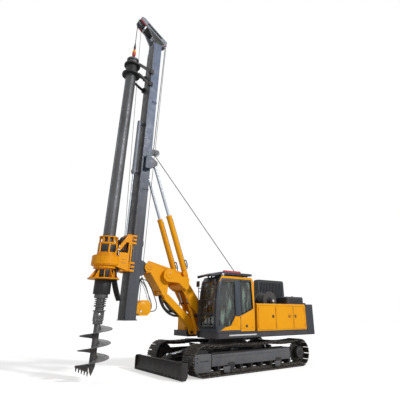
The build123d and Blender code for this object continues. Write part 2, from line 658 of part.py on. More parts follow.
def engine_hood():
    """Pressed hood over the engine, hollow below, with rounded shoulders."""
    top = HOUSING_TOP + HOOD_HEIGHT
    base = HOUSING_TOP + SEAT
    hood = block(HOOD_X, HOOD_Y, (base, top))
    hood = fillet(hood.edges().filter_by(Axis.Z), 90)
    hood = fillet(hood.faces().sort_by(Axis.Z)[-1].edges(), 60)
    wall = HOOD_WALL
    inner = block((HOOD_X[0] + wall, HOOD_X[1] - wall), (HOOD_Y[0] + wall, HOOD_Y[1] - wall), (base - 1, top - wall))
    inner = fillet(inner.edges().filter_by(Axis.Z), 70)
    hood = hood - inner
    hinge = (HOOD_X[0] - HOOD_HINGE + 4, base + HOOD_HINGE)
    middle = (HOOD_Y[0] + HOOD_Y[1]) / 2
    for y in (middle - 260, middle + 260):
        hood = hood + pin(hinge, HOOD_HINGE, (y - 70, y + 70))
    return hood


def cooler_tower():
    """Upright cooler housing with a row of louvre slats on each side."""
    low, high = HOUSING_TOP, TOWER_TOP
    sketch = outline([(TOWER_X[0], low), (TOWER_X[1], low), (TOWER_X[1] - 20, high), (TOWER_X[0] + 30, high)])
    sketch = fillet(sketch.vertices().sort_by(Axis.Y)[-2:], 90)
    tower = side_plate(sketch, TOWER_Y)
    pitch = (TOWER_X[1] - TOWER_X[0] - 260) / TOWER_SLATS
    for i in range(TOWER_SLATS):
        x = TOWER_X[0] + 150 + i * pitch
        for face, step in ((TOWER_Y[1], -24), (TOWER_Y[0], 24)):
            slot = sorted((face + step, face - step / 24))
            tower = tower - block((x, x + pitch * 0.52), slot, (low + 110, high - 110))
    return tower


# ================================================================ cab
def cab_solid(inset):
    """Cab volume, pulled in by the inset on every side."""
    k = inset
    side = outline([
        (CAB_REAR + k, CAB_FLOOR + k), (CAB_FRONT - 60 - k, CAB_FLOOR + k), (CAB_FRONT - k, CAB_FLOOR + 260),
        (CAB_FRONT - 12 - k, 2020), (CAB_FRONT - 105 - k, 2640 - k / 2), (CAB_FRONT - 215 - k / 2, CAB_ROOF - k),
        (CAB_REAR + 90 + k / 2, CAB_ROOF - k), (CAB_REAR + k, CAB_ROOF - 120 - k / 2),
    ])
    return side_plate(side, (CAB_Y[0] + k, CAB_Y[1] - k))


def cab_windows(shrink):
    """Window openings, as solids through the walls, made smaller by the given gap."""
    k = shrink
    y_low, y_high = CAB_Y
    openings = [
        block((CAB_FRONT - 260, CAB_FRONT + 50), (y_low + 95 + k, y_high - 95 - k), (1690 + k, 2650 - k)),
        block((CAB_FRONT - 260, CAB_FRONT + 50), (y_low + 95 + k, y_high - 95 - k), (1250 + k, 1640 - k)),
        block((CAB_REAR - 50, CAB_REAR + 120), (y_low + 110 + k, y_high - 110 - k), (1850 + k, 2600 - k)),
        block((40 + k, 1230 - k), (y_low - 10, y_low + 80), (1760 + k, 2640 - k)),
        block((420 + k, 1080 - k), (y_low + 160 + k, y_high - 160 - k), (CAB_ROOF - 80, CAB_ROOF + 10)),
    ]
    quarter = outline([
        (-60 + k, 1830 + k), (430 - k, 1640 + 1.4 * k), (500 - k, 2700 - k), (10 + k, 2700 - k),
    ])
    openings.append(side_plate(quarter, (y_high - 80, y_high + 10)))
    return openings


def door_sheet(grow):
    """Outline of the cab door, grown by the given gap."""
    k = grow
    return outline([
        (DOOR_HINGE_X - k, 1200 - k), (1425 + k, 1200 - k), (1462 + k, 1420), (1452 + k, 2010),
        (1368 + k, 2600), (1300 + k, 2725 + k), (625 - k, 2725 + k), (DOOR_HINGE_X - k, 1660),
    ])


def door_window(shrink):
    """Outline of the glass in the cab door, made smaller by the given gap."""
    k = shrink
    return outline([
        (690 + k, 1630 + k), (900 + k, 1330 + k), (1120, 1290 + k), (1270 - k, 1350 + k), (1390 - k, 1660),
        (1385 - k, 2010), (1310 - k, 2560), (1240 - k, 2640 - k), (740 + k, 2640 - k),
    ])


def cab_shell():
    """Cab body with its windows and doorway cut through the walls."""
    shell = cab_solid(0) - cab_solid(CAB_WALL)
    for opening in cab_windows(0):
        shell = shell - opening
    doorway = side_plate(door_sheet(DOOR_GAP), (CAB_Y[1] - CAB_WALL - 30, CAB_Y[1] + 10))
    return (shell - doorway) + hinge_brackets(*CAB_HINGE, 1, CAB_Y[1], CAB_HINGE_Z)


def cab_glass():
    """Fixed panes, one in each window opening."""
    layer = cab_solid(GLASS_INSET) - cab_solid(GLASS_INSET + GLASS)
    return [layer & opening for opening in cab_windows(SEAT)]


def cab_door():
    """Cab door as thick as the wall, with its window cut."""
    door = side_plate(door_sheet(0), (CAB_Y[1] - CAB_WALL, CAB_Y[1]))
    door = door - side_plate(door_window(0), (CAB_Y[1] - CAB_WALL - 10, CAB_Y[1] + 10))
    return door + knuckles(*CAB_HINGE, 1, CAB_Y[1], {z: 84 for z in CAB_HINGE_Z})


def door_glass():
    """Pane of the cab door."""
    return side_plate(door_window(SEAT), (CAB_Y[1] - GLASS_INSET - GLASS, CAB_Y[1] - GLASS_INSET))


def cab_guard():
    """Roof guard with its sloping visor, and the upright bars before the windscreen."""
    roof = outline([(-90, CAB_ROOF + 110), (1240, CAB_ROOF + 110), (1650, CAB_ROOF + 5), (1660, CAB_ROOF + 35),
                    (1250, CAB_ROOF + 140), (-90, CAB_ROOF + 140)])
    y = (CAB_Y[0] + 105, CAB_Y[1] - 70)
    guard = side_plate(roof, y)
    for x in (60, 1100):
        for low in (y[0] + 60, y[1] - 100):
            guard = guard + block((x, x + 40), (low, low + 40), (CAB_ROOF, CAB_ROOF + 110))
    return guard


def windscreen_bars():
    """Flat-bar grille in front of the windscreen, on four short stays."""
    y_low, y_high = CAB_Y[0] + 35, CAB_Y[1] - 35
    plane = (CAB_FRONT + 40, CAB_FRONT + 56)
    grille = None
    for z in (1300.0, 1700.0, 2070.0, 2440.0):
        flat = block(plane, (y_low, y_high), (z, z + 24))
        grille = flat if grille is None else grille + flat
    for y in spaced(y_low, y_high - 18, 6):
        grille = grille + block(plane, (y, y + 18), (1300, 2464))
    for y in (y_low, y_high - 18):
        grille = grille + block((CAB_FRONT, plane[0]), (y, y + 18), (1410, 1434))
        grille = grille + block((CAB_FRONT - 12, plane[0]), (y, y + 18), (2020, 2044))
    return grille


def seat():
    """Operator's seat: base, cushion, back and headrest, with the two side consoles."""
    x, y = 480.0, (CAB_Y[0] + CAB_Y[1]) / 2
    floor = CAB_FLOOR + CAB_WALL
    base = block((x - 180, x + 180), (y - 190, y + 190), (floor, floor + 260))
    cushion = block((x - 260, x + 260), (y - 240, y + 240), (floor + 260, floor + 380))
    back = Pos(x - 240, y, floor + 700) * Rot(0, -12, 0) * Box(120, 460, 680)
    head = Pos(x - 310, y, floor + 1110) * Rot(0, -12, 0) * Box(90, 260, 180)
    chair = base + cushion + back + head
    for side in (1, -1):
        edge = y + side * 330
        chair = chair + block((x - 100, x + 420), (edge - 70, edge + 70), (floor, floor + 560))
        chair = chair + post(x + 360, edge, 16, (floor + 560, floor + 740))
        chair = chair + (Pos(x + 360, edge, floor + 760) * Sphere(32))
    dash = block((1180, 1300), (y - 380, y - 200), (floor, floor + 720))
    return [chair, dash]


# ================================================================ boom linkage
def boom():
    """Cranked boom: two lower arms under a cover plate, a cross box and the two upper ears with bosses."""
    arm = outline([
        (BOOM_FOOT[0] - 75, BOOM_FOOT[1] + 75), (BOOM_FOOT[0] + 90, BOOM_FOOT[1] - 65), (1790, 1935),
        (2060, 2350), (2160, 2420), (2160, 2630), (1930, 2680),
    ]) + disc(BOOM_FOOT, 105)
    arm = arm - disc(BOOM_FOOT, PIN_RADIUS + 10 + PIN_GAP)
    ear = outline([
        (2000, 2795), (1945, 2715), (1945, 2440), (2040, 2375), (2330, 2590), (BOOM_TIP[0], BOOM_TIP[1] - 205),
        (BOOM_TIP[0], BOOM_TIP[1] + 205), (2330, 2830), (2230, 2795),
    ]) + disc(BOOM_TIP, 205)
    ear = ear - disc(BOOM_TIP, PIN_RADIUS + 15 + PIN_GAP)
    box = outline([(2050, 2400), (2160, 2450), (2230, 2540), (2160, 2630), (2050, 2640)])
    cover = outline([(1330, 1945), (1375, 1900), (1975, 2600), (2060, 2600), (2060, 2640), (1930, 2680)])
    shape = side_plate(box, (-EAR_Y[1], EAR_Y[1])) + side_plate(cover, (-ARM_Y[0], ARM_Y[0]))
    corner = outline([(1945, 2440), (2060, 2400), (2060, 2640), (1945, 2665)])
    for y in spread((ARM_Y[1], EAR_Y[0])):
        shape = shape + side_plate(corner, y)
    for y in spread(ARM_Y):
        shape = shape + side_plate(arm, y)
    for y in spread(EAR_Y):
        shape = shape + side_plate(ear, y)
    inner, outer = LUFF_Y - EYE_HALF - SIDE_GAP, LUFF_Y + EYE_HALF + SIDE_GAP
    lug = strap(LUFF_HEAD, 58, (LUFF_HEAD[0] + 95, LUFF_HEAD[1] + 90), 78)
    for y in (*spread((inner - 18, inner)), *spread((outer, ARM_Y[0]))):
        shape = shape + side_plate(lug, y)
    return shape


def link():
    """Box link below the boom, with an eye at each end."""
    head = link_head()
    shape = side_plate(strap(LINK_FOOT, 60, head, 60), (-LINK_HALF + 20, LINK_HALF - 20))
    body = strap(along(LINK_FOOT, head, 240), 100, along(head, LINK_FOOT, 240), 100)
    shape = shape + side_plate(body, (-LINK_HALF, LINK_HALF))
    for at in (LINK_FOOT, head):
        eye = pin(at, 88, (-LINK_HALF, LINK_HALF))
        shape = shape + eye
    for at in (LINK_FOOT, head):
        shape = shape - pin(at, PIN_RADIUS + PIN_GAP, (-LINK_HALF - 1, LINK_HALF + 1))
    return shape


def link_head():
    """Upper pin of the link, which closes the parallelogram."""
    return (LINK_FOOT[0] + BOOM_TIP[0] - BOOM_FOOT[0], LINK_FOOT[1] + BOOM_TIP[1] - BOOM_FOOT[1])


def triangle():
    """Triangle frame: two plates, their front wall, and the pins of boom, link, cylinders and mast."""
    head = link_head()
    lower, upper = (head[0] + 30, head[1] - 100), (MAST_PIVOT[0] + 120, MAST_PIVOT[1] + 60)
    plate = outline([
        (CYLINDER_FOOT[0] - 20, CYLINDER_FOOT[1] - 90), (BOOM_TIP[0] - 60, BOOM_TIP[1] - 240),
        (head[0] - 100, head[1] - 40), lower, upper, (MAST_PIVOT[0] + 30, MAST_PIVOT[1] + 190),
        (CYLINDER_FOOT[0] + 20, CYLINDER_FOOT[1] + 95),
    ])
    plate = plate + disc(CYLINDER_FOOT, 95) + disc(head, 105) + disc(MAST_PIVOT, 150)
    shape = None
    for y in spread(CHEEK_Y):
        cheek = side_plate(plate, y)
        shape = cheek if shape is None else shape + cheek
    ends = along(lower, upper, 190), along(lower, upper, 800)
    front = outline([*ends, (ends[1][0] - 32, ends[1][1] + 25), (ends[0][0] - 32, ends[0][1] + 25)])
    shape = shape + side_plate(front, (-CHEEK_Y[0], CHEEK_Y[0]))
    shape = shape + pin(BOOM_TIP, 110, (-CHEEK_Y[0], CHEEK_Y[0]))
    reach = EAR_Y[1]
    shape = shape + pin(BOOM_TIP, PIN_RADIUS + 15, (-reach, reach))
    for y in spread((CHEEK_Y[1], EAR_Y[0] - SIDE_GAP)):
        shape = shape + pin(BOOM_TIP, 110, y)
    shape = shape + pin(head, PIN_RADIUS, (-CHEEK_Y[1], CHEEK_Y[1]))
    reach = CYLINDER_Y + EYE_HALF + 4
    shape = shape + pin(CYLINDER_FOOT, PIN_RADIUS, (-reach, reach))
    return shape + pin(MAST_PIVOT, PIN_RADIUS + 15, (-CHEEK_Y[1], CHEEK_Y[1]))


# ================================================================ mast
def mast():
    """Box mast with its guide rails, bottom flange, pivot lugs and cylinder brackets."""
    low, high = MAST_Z
    tube = block(MAST_X, (-MAST_HALF, MAST_HALF), MAST_Z)
    wall = MAST_WALL
    hollow = block((MAST_X[0] + wall, MAST_X[1] - wall), (-MAST_HALF + wall, MAST_HALF - wall), (low + 20, high - 20))
    tube = tube - hollow
    rail_x = (MAST_X[1] - RAIL[1], MAST_X[1])
    for y in spread((MAST_HALF, MAST_HALF + RAIL[0])):
        tube = tube + block(rail_x, y, (low + 40, high - 250))
    flange = block((MAST_X[0] - 20, MAST_X[1] + 25), (-MAST_HALF - 40, MAST_HALF + 40), (low, low + 30))
    tube = tube + flange
    lug = strap(MAST_PIVOT, 120, (MAST_X[0] + 10, MAST_PIVOT[1] - 40), 240)
    lug = lug & outline([(3000, 2000), (MAST_X[0], 2000), (MAST_X[0], 4000), (3000, 4000)])
    lug = lug - disc(MAST_PIVOT, PIN_RADIUS + 15 + PIN_GAP)
    for y in spread((CHEEK_Y[0] - SIDE_GAP - 65, CHEEK_Y[0] - SIDE_GAP)):
        tube = tube + side_plate(lug, y)
    ear_front = MAST_X[1] - RAIL[1] - CLAW_DEPTH - 2 * SIDE_GAP
    ear = outline([
        (CYLINDER_HEAD[0] - 85, CYLINDER_HEAD[1] - 60), (CYLINDER_HEAD[0] - 85, CYLINDER_HEAD[1] + 60),
        (MAST_X[0] + 90, CYLINDER_HEAD[1] + 240), (ear_front, CYLINDER_HEAD[1] + 240),
        (ear_front, CYLINDER_HEAD[1] - 240), (MAST_X[0] + 90, CYLINDER_HEAD[1] - 240),
    ])
    outer = CYLINDER_Y + EYE_HALF + 30
    for y in spread((MAST_HALF, CYLINDER_Y - EYE_HALF - 22)):
        tube = tube + side_plate(ear, y)
    for y in spread((outer, outer + 25)):
        tube = tube + side_plate(ear, y)
    cross = (ear_front - 50, ear_front)
    for y in spread((MAST_HALF, outer + 25)):
        tube = tube + block(cross, y, (CYLINDER_HEAD[1] - 240, CYLINDER_HEAD[1] + 240))
    return tube


def head_point(share, lift):
    """Point on the sloping line of the mast head: share of its length, height above the line."""
    dx, dz = HEAD_FRONT[0] - HEAD_REAR[0], HEAD_FRONT[1] - HEAD_REAR[1]
    span = hypot(dx, dz)
    return (HEAD_REAR[0] + dx * share - dz / span * lift, HEAD_REAR[1] + dz * share + dx / span * lift)


def head_sheaves():
    """Centres of the front and rear sheaves in the mast head."""
    return ((KELLY_X - SHEAVE_RADIUS, 12700.0), (3505.0, 12125.0))


def mast_head():
    """Sloping head: two recessed beams on the mast top, cross bars and sheave pins."""
    beam = outline([
        head_point(0.0, -70), head_point(0.0, 50), head_point(0.03, 110), head_point(0.93, 110),
        head_point(1.0, 60), head_point(1.0, -20), head_point(0.93, -110), head_point(0.62, -120),
        (MAST_X[1] + 10, MAST_Z[1] + 170), (MAST_X[1], MAST_Z[1]), (MAST_X[0], MAST_Z[1]),
    ])
    pocket = strap(head_point(0.24, 10), 48, head_point(0.74, 10), 48)
    shape = block(MAST_X, (-HEAD_HALF, HEAD_HALF), (MAST_Z[1], MAST_Z[1] + 28))
    for y in spread((HEAD_HALF - HEAD_BEAM, HEAD_HALF)):
        shape = shape + side_plate(beam, y)
    for y in spread((HEAD_HALF - 38, HEAD_HALF + 1)):
        shape = shape - side_plate(pocket, y)
    inner = (-HEAD_HALF + HEAD_BEAM, HEAD_HALF - HEAD_BEAM)
    for share, lift in ((0.34, 20), (0.62, -40)):
        shape = shape + pin(head_point(share, lift), 38, inner)
    for at in head_sheaves():
        shape = shape + pin(at, SHEAVE_PIN, (-HEAD_HALF - 12, HEAD_HALF + 12))
    return shape


def sheave(at, radius, y_places):
    """Grooved rope wheels on one axis."""
    wheels = None
    for y in y_places:
        rim, bore = (radius - 6, radius + 22), SHEAVE_PIN + SEAT
        profile = Polyline(
            (bore, y - 22), (bore, y + 22), (70, y + 22), (80, y + 12), (rim[0] - 30, y + 12), (rim[0] - 18, y + 24),
            (rim[1], y + 24), (rim[0], y + 5), (rim[0], y - 5), (rim[1], y - 24), (rim[0] - 18, y - 24),
            (rim[0] - 30, y - 12), (80, y - 12), (70, y - 22), close=True,
        )
        wheel = Pos(at[0], 0, at[1]) * revolve(make_face(profile), Axis.Y)
        wheels = wheel if wheels is None else wheels + wheel
    return wheels


def mid_bracket():
    """Rope sheave bracket on the back of the mast."""
    shape = None
    for y in spread((48, 70)):
        plate = strap(MID_SHEAVE, 80, (MAST_X[0] - 70, MID_SHEAVE[1] - 40), 120)
        plate = plate + outline([
            (MAST_X[0] - 90, MID_SHEAVE[1] - 260), (MAST_X[0], MID_SHEAVE[1] - 260),
            (MAST_X[0], MID_SHEAVE[1] + 200), (MAST_X[0] - 90, MID_SHEAVE[1] + 110),
        ])
        plate = plate & outline([(3000, 6700), (MAST_X[0], 6700), (MAST_X[0], 7500), (3000, 7500)])
        side = side_plate(plate, y)
        shape = side if shape is None else shape + side
    return shape + pin(MID_SHEAVE, SHEAVE_PIN, (-70, 70))


def aux_winch():
    """Octagonal housing of the auxiliary winch on the back of the mast."""
    x, z = AUX_DRUM
    outer, cut = 215.0, 95.0
    octagon = [
        (x - outer + cut, z - outer), (x + outer - cut, z - outer), (x + outer, z - outer + cut),
        (x + outer, z + outer - cut), (x + outer - cut, z + outer), (x - outer + cut, z + outer),
        (x - outer, z + outer - cut), (x - outer, z - outer + cut),
    ]
    shape = None
    for y in spread((AUX_HALF - 45, AUX_HALF)):
        side = side_plate(outline(octagon), y)
        shape = side if shape is None else shape + side
    for y in (-AUX_HALF, AUX_HALF - 45):
        shape = shape + block((x + outer - 20, MAST_X[0]), (y, y + 45), (z - 160, z + 120))
    shape = shape + block((MAST_X[0] - 30, MAST_X[0]), (-AUX_HALF, AUX_HALF), (z - 160, z + 160))
    return shape + pin(AUX_DRUM, 38, (-AUX_HALF, AUX_HALF))


def drum(at, core, flange, half, bore):
    """Rope drum with two flanges, bored for its shaft."""
    shape = pin(at, core, (-half, half)) + pin(at, flange, (-half, -half + 18)) + pin(at, flange, (half - 18, half))
    return shape - pin(at, bore, (-half - 1, half + 1))


# ================================================================ drive, Kelly bar and auger
def press_barrel():
    """Pull-down cylinder barrel on the front of the mast, with its brackets."""
    low, high = PRESS_Z
    shape = post(PRESS_X, 0, PRESS_RADIUS, PRESS_Z)
    shape = shape + post(PRESS_X, 0, PRESS_RADIUS + 22, (low + 40, low + 130))
    shape = shape - post(PRESS_X, 0, PRESS_ROD + PIN_GAP, (low - 1, high - 60))
    for z in (low + 60, high - 90):
        bracket = block((MAST_X[1], PRESS_X - PRESS_RADIUS + 6), (-105, 105), (z, z + 70))
        shape = shape + bracket
    return shape


def drive_carriage():
    """Slide of the rotary drive: two windowed cheeks, cross walls and the guide claws on the rails."""
    front = KELLY_X - 30
    rear = MAST_X[1] + SIDE_GAP + 5
    low, high = 2850.0, 3950.0
    plate = outline([
        (front, 3000), (front, 3270), (rear + 170, high), (rear + 20, high), (rear + 20, low), (rear + 110, low),
    ])
    window = outline([(rear + 140, 3380), (rear + 430, 3380), (rear + 215, 3700), (rear + 140, 3700)], 18)
    shape = None
    for y in spread((CHEEK_HALF - CHEEK_PLATE, CHEEK_HALF)):
        cheek = side_plate(plate - window, y)
        shape = cheek if shape is None else shape + cheek
    around = post(KELLY_X, 0, GEARBOX_RADIUS + SEAT, (2500, 4200))
    shape = shape - around
    inner = (-CHEEK_HALF + CHEEK_PLATE, CHEEK_HALF - CHEEK_PLATE)
    for z in ((low, low + 40), (3290, 3325)):
        floor = block((rear + 20, 4300), inner, z)
        floor = floor - block((0, PRESS_X + 60), (-60, 60), (0, 9000))
        shape = shape + (floor - around)
    back = block((rear + 20, rear + 50), inner, (low, high))
    shape = shape + (back - block((0, 9000), (-110, 110), (low + 60, high + 1)))
    claw_in, claw_out = MAST_HALF + RAIL[0] + SIDE_GAP, MAST_HALF + RAIL[0] + SIDE_GAP + 35
    hook_x = MAST_X[1] - RAIL[1] - SEAT
    for z in (low + 20, low + 130, low + 240, high - 260, high - 150, high - 40):
        for y in spread((claw_in, claw_out)):
            arm = block((hook_x - CLAW_DEPTH, rear + 60), y, (z - 30, z + 30))
            shape = shape + arm
        for y in spread((MAST_HALF + SIDE_GAP, claw_in)):
            hook = block((hook_x - CLAW_DEPTH, hook_x), y, (z - 30, z + 30))
            shape = shape + hook
    top = block((PRESS_X - 60, PRESS_X + 60), (-CHEEK_HALF + CHEEK_PLATE, CHEEK_HALF - CHEEK_PLATE), (3900, 3950))
    return shape + top


def drive_gearbox():
    """Gear housing, slatted cages above it and the ribbed casing flange below, round the Kelly bar."""
    bore = KELLY_RADIUS + DRIVE_GAP
    x = KELLY_X
    # Each row: outer radius, low end, high end.
    rings = (
        (GEARBOX_RADIUS - 12, GEARBOX_Z[0], GEARBOX_Z[0] + 40),
        (GEARBOX_RADIUS, GEARBOX_Z[0] + 40, GEARBOX_Z[1] - 30),
        (GEARBOX_RADIUS - 20, GEARBOX_Z[1] - 30, GEARBOX_Z[1]),
        (290, GEARBOX_Z[1], 3350),
        (262, 3350, 3610),
        (285, 3610, 3640),
        (285, CAGE_TOP - 30, CAGE_TOP),
        (330, 2900, GEARBOX_Z[0]),
        (262, 2870, 2900),
        (BELL_RADIUS, BELL_Z, BELL_Z + 28),
        (235, SLEEVE_Z, 2890),
    )
    shape = post(x, 0, 255, (2600, 3660))
    for outer, low, high in rings:
        shape = shape + post(x, 0, outer, (low, high))
    for i in range(10):
        turn = 2 * pi * i / 10
        at = (x + 255 * cos(turn), 255 * sin(turn))
        shape = shape + Pos(at[0], at[1], 3725) * Rot(0, 0, degrees(turn)) * Box(46, 46, 200)
        rib = extrude(Plane.XZ * outline([(240, 2620), (BELL_RADIUS - 25, 2620), (BELL_RADIUS - 40, 2660), (255, 2890),
                                          (240, 2890)]), amount=12, both=True)
        shape = shape + Pos(x, 0, 0) * Rot(0, 0, degrees(turn)) * rib
    shape = shape - post(x, 0, bore, (SLEEVE_Z - 1, CAGE_TOP + 1))
    for i in range(BELL_BOLTS):
        turn = 2 * pi * (i + 0.5) / BELL_BOLTS
        at = (x + BELL_BOLT_CIRCLE * cos(turn), BELL_BOLT_CIRCLE * sin(turn))
        shape = shape - post(at[0], at[1], BELL_BOLT_HOLE, (BELL_Z - 1, BELL_Z + 29))
    return shape


def drive_motors():
    """Two hydraulic motors standing on the carriage between mast and Kelly bar."""
    motors = []
    for y in (-190.0, 190.0):
        x = 4330.0 - 40.0
        motor = post(x, y, 62, (3325, 3430)) + post(x, y, 52, (3430, 3640)) + post(x, y, 62, (3640, 3760))
        motors.append(motor)
    return motors


def kelly_guide():
    """Guide rings round the Kelly head, and the arms to the claws on the mast rails."""
    bore = KELLY_RADIUS + DRIVE_GAP
    shape = ring(KELLY_X, 0, bore + 18, bore, (9980, GUIDE_TOP))
    # Each row: middle of the ring, outer radius, middle of the claws that its arms reach.
    for ring_z, radius, claw_z in ((10450.0, 300, 10330.0), (10010.0, 330, 9760.0)):
        shape = shape + ring(KELLY_X, 0, radius, bore, (ring_z - 30, ring_z + 30))
        for y in (250.0, -250.0):
            arm = bar((KELLY_X - 120, y * 0.94, ring_z), (MAST_X[1] + 50, y, claw_z), 30)
            shape = shape + (arm - post(KELLY_X, 0, bore + 9, (9000, 11500)))
        inner = MAST_HALF + RAIL[0] + SIDE_GAP
        back = MAST_X[1] - RAIL[1] - SEAT
        # Claws: along x, across y on the left side.
        for x, y in (
            ((back - CLAW_DEPTH, MAST_X[1] + 75), (inner, inner + 30)),
            ((MAST_X[1] + SEAT, MAST_X[1] + 75), (215, inner)),
            ((back - CLAW_DEPTH, back), (MAST_HALF + SIDE_GAP, inner)),
        ):
            for pair in spread(y):
                shape = shape + block(x, pair, (claw_z - 90, claw_z + 90))
    return shape


def kelly_bar():
    """Outer Kelly tube with drive ribs, head cap and swivel, spring pack and square stub."""
    x = KELLY_X
    shape = ring(x, 0, KELLY_RADIUS, KELLY_RADIUS - KELLY_WALL, (2160, KELLY_TOP - 60))
    # Each row: radius, low end, high end of the solid pieces below and above the tube.
    steps = (
        (KELLY_RADIUS + 4, 2090, 2160), (120, 1760, 2090), (165, 2040, 2066), (160, 1986, 2012),
        (160, 1932, 1958), (165, 1860, 1900), (172, 1735, 1765), (150, 1495, 1520),
    )
    for radius, low, high in steps:
        shape = shape + post(x, 0, radius, (low, high))
    shape = shape + block((x - STUB_HALF, x + STUB_HALF), (-STUB_HALF, STUB_HALF), (1500, 1760))
    cap = ring(x, 0, 225, 60, (KELLY_TOP - 60, KELLY_TOP)) + ring(x, 0, 214, 180, (GUIDE_TOP + SEAT, GUIDE_TOP + 45))
    shape = shape + cap + ring(x, 0, 90, 40, (KELLY_TOP, KELLY_TOP + 110))
    return shape - post(x, 0, 40, (KELLY_TOP - 400, KELLY_TOP + 200))


def auger():
    """Earth auger: square head, stem, helical flight, cutting teeth and pilot tip."""
    x = KELLY_X
    low, high = AUGER_Z
    shape = block((x - 105, x + 105), (-105, 105), (1400, 1495))
    shape = shape + post(x, 0, AUGER_STEM, (low - 160, 1400))
    steps = round((high - low) / AUGER_PITCH * 14)
    middle = (AUGER_STEM - 10 + AUGER_RADIUS) / 2
    sections = []
    for i in range(steps + 1):
        turn = 360.0 * (high - low) / AUGER_PITCH * i / steps
        seat = Pos(x, 0, low + (high - low) * i / steps) * Rot(0, 0, turn) * Pos(middle, 0, 0)
        sections.append(seat * (Plane.XZ * Rectangle(AUGER_RADIUS - AUGER_STEM + 10, AUGER_PLATE)))
    shape = shape + loft(sections, ruled=True)
    for i in range(5):
        out = 130 + 65 * i
        tooth = outline([(out - 24, low - 5), (out + 24, low - 5), (out + 14, low - 150), (out - 14, low - 150)])
        shape = shape + Pos(x, 0, 0) * side_plate(tooth, (-24, 24))
    tip = Pos(x, 0, (TIP_Z + low - 160) / 2) * Cone(6, AUGER_STEM, low - 160 - TIP_Z)
    return shape + tip


# ================================================================ fittings on the deck
def winch_frame():
    """Two stands for the main winch on the deck, with the drum shaft and motor."""
    shape = None
    for y in ((MAIN_DRUM_Y - 290, MAIN_DRUM_Y - 260), (MAIN_DRUM_Y + 260, MAIN_DRUM_Y + 290)):
        stand = outline([
            (MAIN_DRUM[0] - 330, DECK_Z[1]), (MAIN_DRUM[0] + 330, DECK_Z[1]),
            (MAIN_DRUM[0] + 130, MAIN_DRUM[1] + 60), (MAIN_DRUM[0] - 130, MAIN_DRUM[1] + 60),
        ]) + disc(MAIN_DRUM, 150)
        side = side_plate(stand, y)
        shape = side if shape is None else shape + side
    shape = shape + pin(MAIN_DRUM, 48, (MAIN_DRUM_Y - 290, MAIN_DRUM_Y + 340))
    return shape + pin(MAIN_DRUM, 120, (MAIN_DRUM_Y + 290, MAIN_DRUM_Y + 350))


def main_drum():
    """Main rope drum."""
    return Pos(0, MAIN_DRUM_Y, 0) * drum(MAIN_DRUM, 230, 350, 250, 48 + PIN_GAP)


def aux_drum():
    """Auxiliary rope drum."""
    return drum(AUX_DRUM, 105, 165, AUX_HALF - 45 - SIDE_GAP, 38 + PIN_GAP)


def tank():
    """Fuel tank and step box along the right side, ahead of the pump housing."""
    body = block((-880, 560), (-DECK_HALF, RIGHT_BAY_Y), (DECK_Z[1], 1900))
    body = fillet(body.edges().filter_by(Axis.X).sort_by(Axis.Z)[-2:], 50)
    filler = post(-500, -930, 60, (1900, 1950))
    return body + filler


def toolbox():
    """Locker on the right front of the deck, with its lid seam."""
    low = DECK_Z[1]
    body = block((640, 1290), (-DECK_HALF + 40, -DECK_HALF + 560), (low, 1690))
    body = fillet(body.edges().filter_by(Axis.Z), 40)
    seam = block((600, 1330), (-DECK_HALF, -DECK_HALF + 600), (1560, 1566))
    inner = block((650, 1280), (-DECK_HALF + 50, -DECK_HALF + 550), (1540, 1580))
    return body - (seam - inner)


def light_bar():
    """Warning light bar on the roof guard."""
    base = block((120, 860), (820, 940), (CAB_ROOF + 140, CAB_ROOF + 168))
    lamp = block((130, 850), (825, 935), (CAB_ROOF + 168, CAB_ROOF + 240))
    lamp = fillet(lamp.edges().filter_by(Axis.X).sort_by(Axis.Z)[-2:], 24)
    return base + lamp


def work_lamps():
    """Work lamps on the front of the cab roof, each with its stay."""
    lamps = []
    for y in (CAB_Y[0] + 70, CAB_Y[1] - 60):
        stay = block((1150, 1190), (y - 12, y + 12), (CAB_ROOF, CAB_ROOF + 40))
        lamp = bar((1150, y, CAB_ROOF + 62), (1230, y, CAB_ROOF + 62), 34)
        lamps.append(stay + lamp)
    return lamps


def handrails():
    """Tube rails on the right side of the deck and by the cab door."""
    rails = None
    for x in (700.0, 1240.0):
        upright = post(x, -DECK_HALF + 20, 17, (DECK_Z[1], 2150))
        rails = upright if rails is None else rails + upright
    for z in (2133, 1780):
        rails = rails + bar((700, -DECK_HALF + 20, z), (1240, -DECK_HALF + 20, z), 17)
    return rails


# ================================================================ hoses
def link_hose_ports():
    """Blocks on the link's far side that the hanging hoses leave and enter."""
    sides = (LINK_HOSE_Y - HOSE, -LINK_HALF + 1)
    shape = block((2435, 2585), sides, (2160, 2200))
    return shape + block((1930, 1980), sides, (1675, 1805))


def hose(points, diameter):
    """Round hose along a route of hand-set points, with as large an arc at each point as its runs allow."""
    corners = [Vector(*point) for point in points]
    radii = []
    for before, corner, after in zip(corners, corners[1:], corners[2:]):
        back, on = corner - before, after - corner
        half_turn = radians(back.get_angle(on)) / 2
        radii.append(0.45 * min(back.length, on.length) / tan(half_turn))
    print("hose radii in diameters:", [round(radius / diameter, 1) for radius in radii])
    path = FilletPolyline(*corners, radius=radii)
    section = (path ^ 0) * Circle(diameter / 2)
    return sweep(section, path=path)


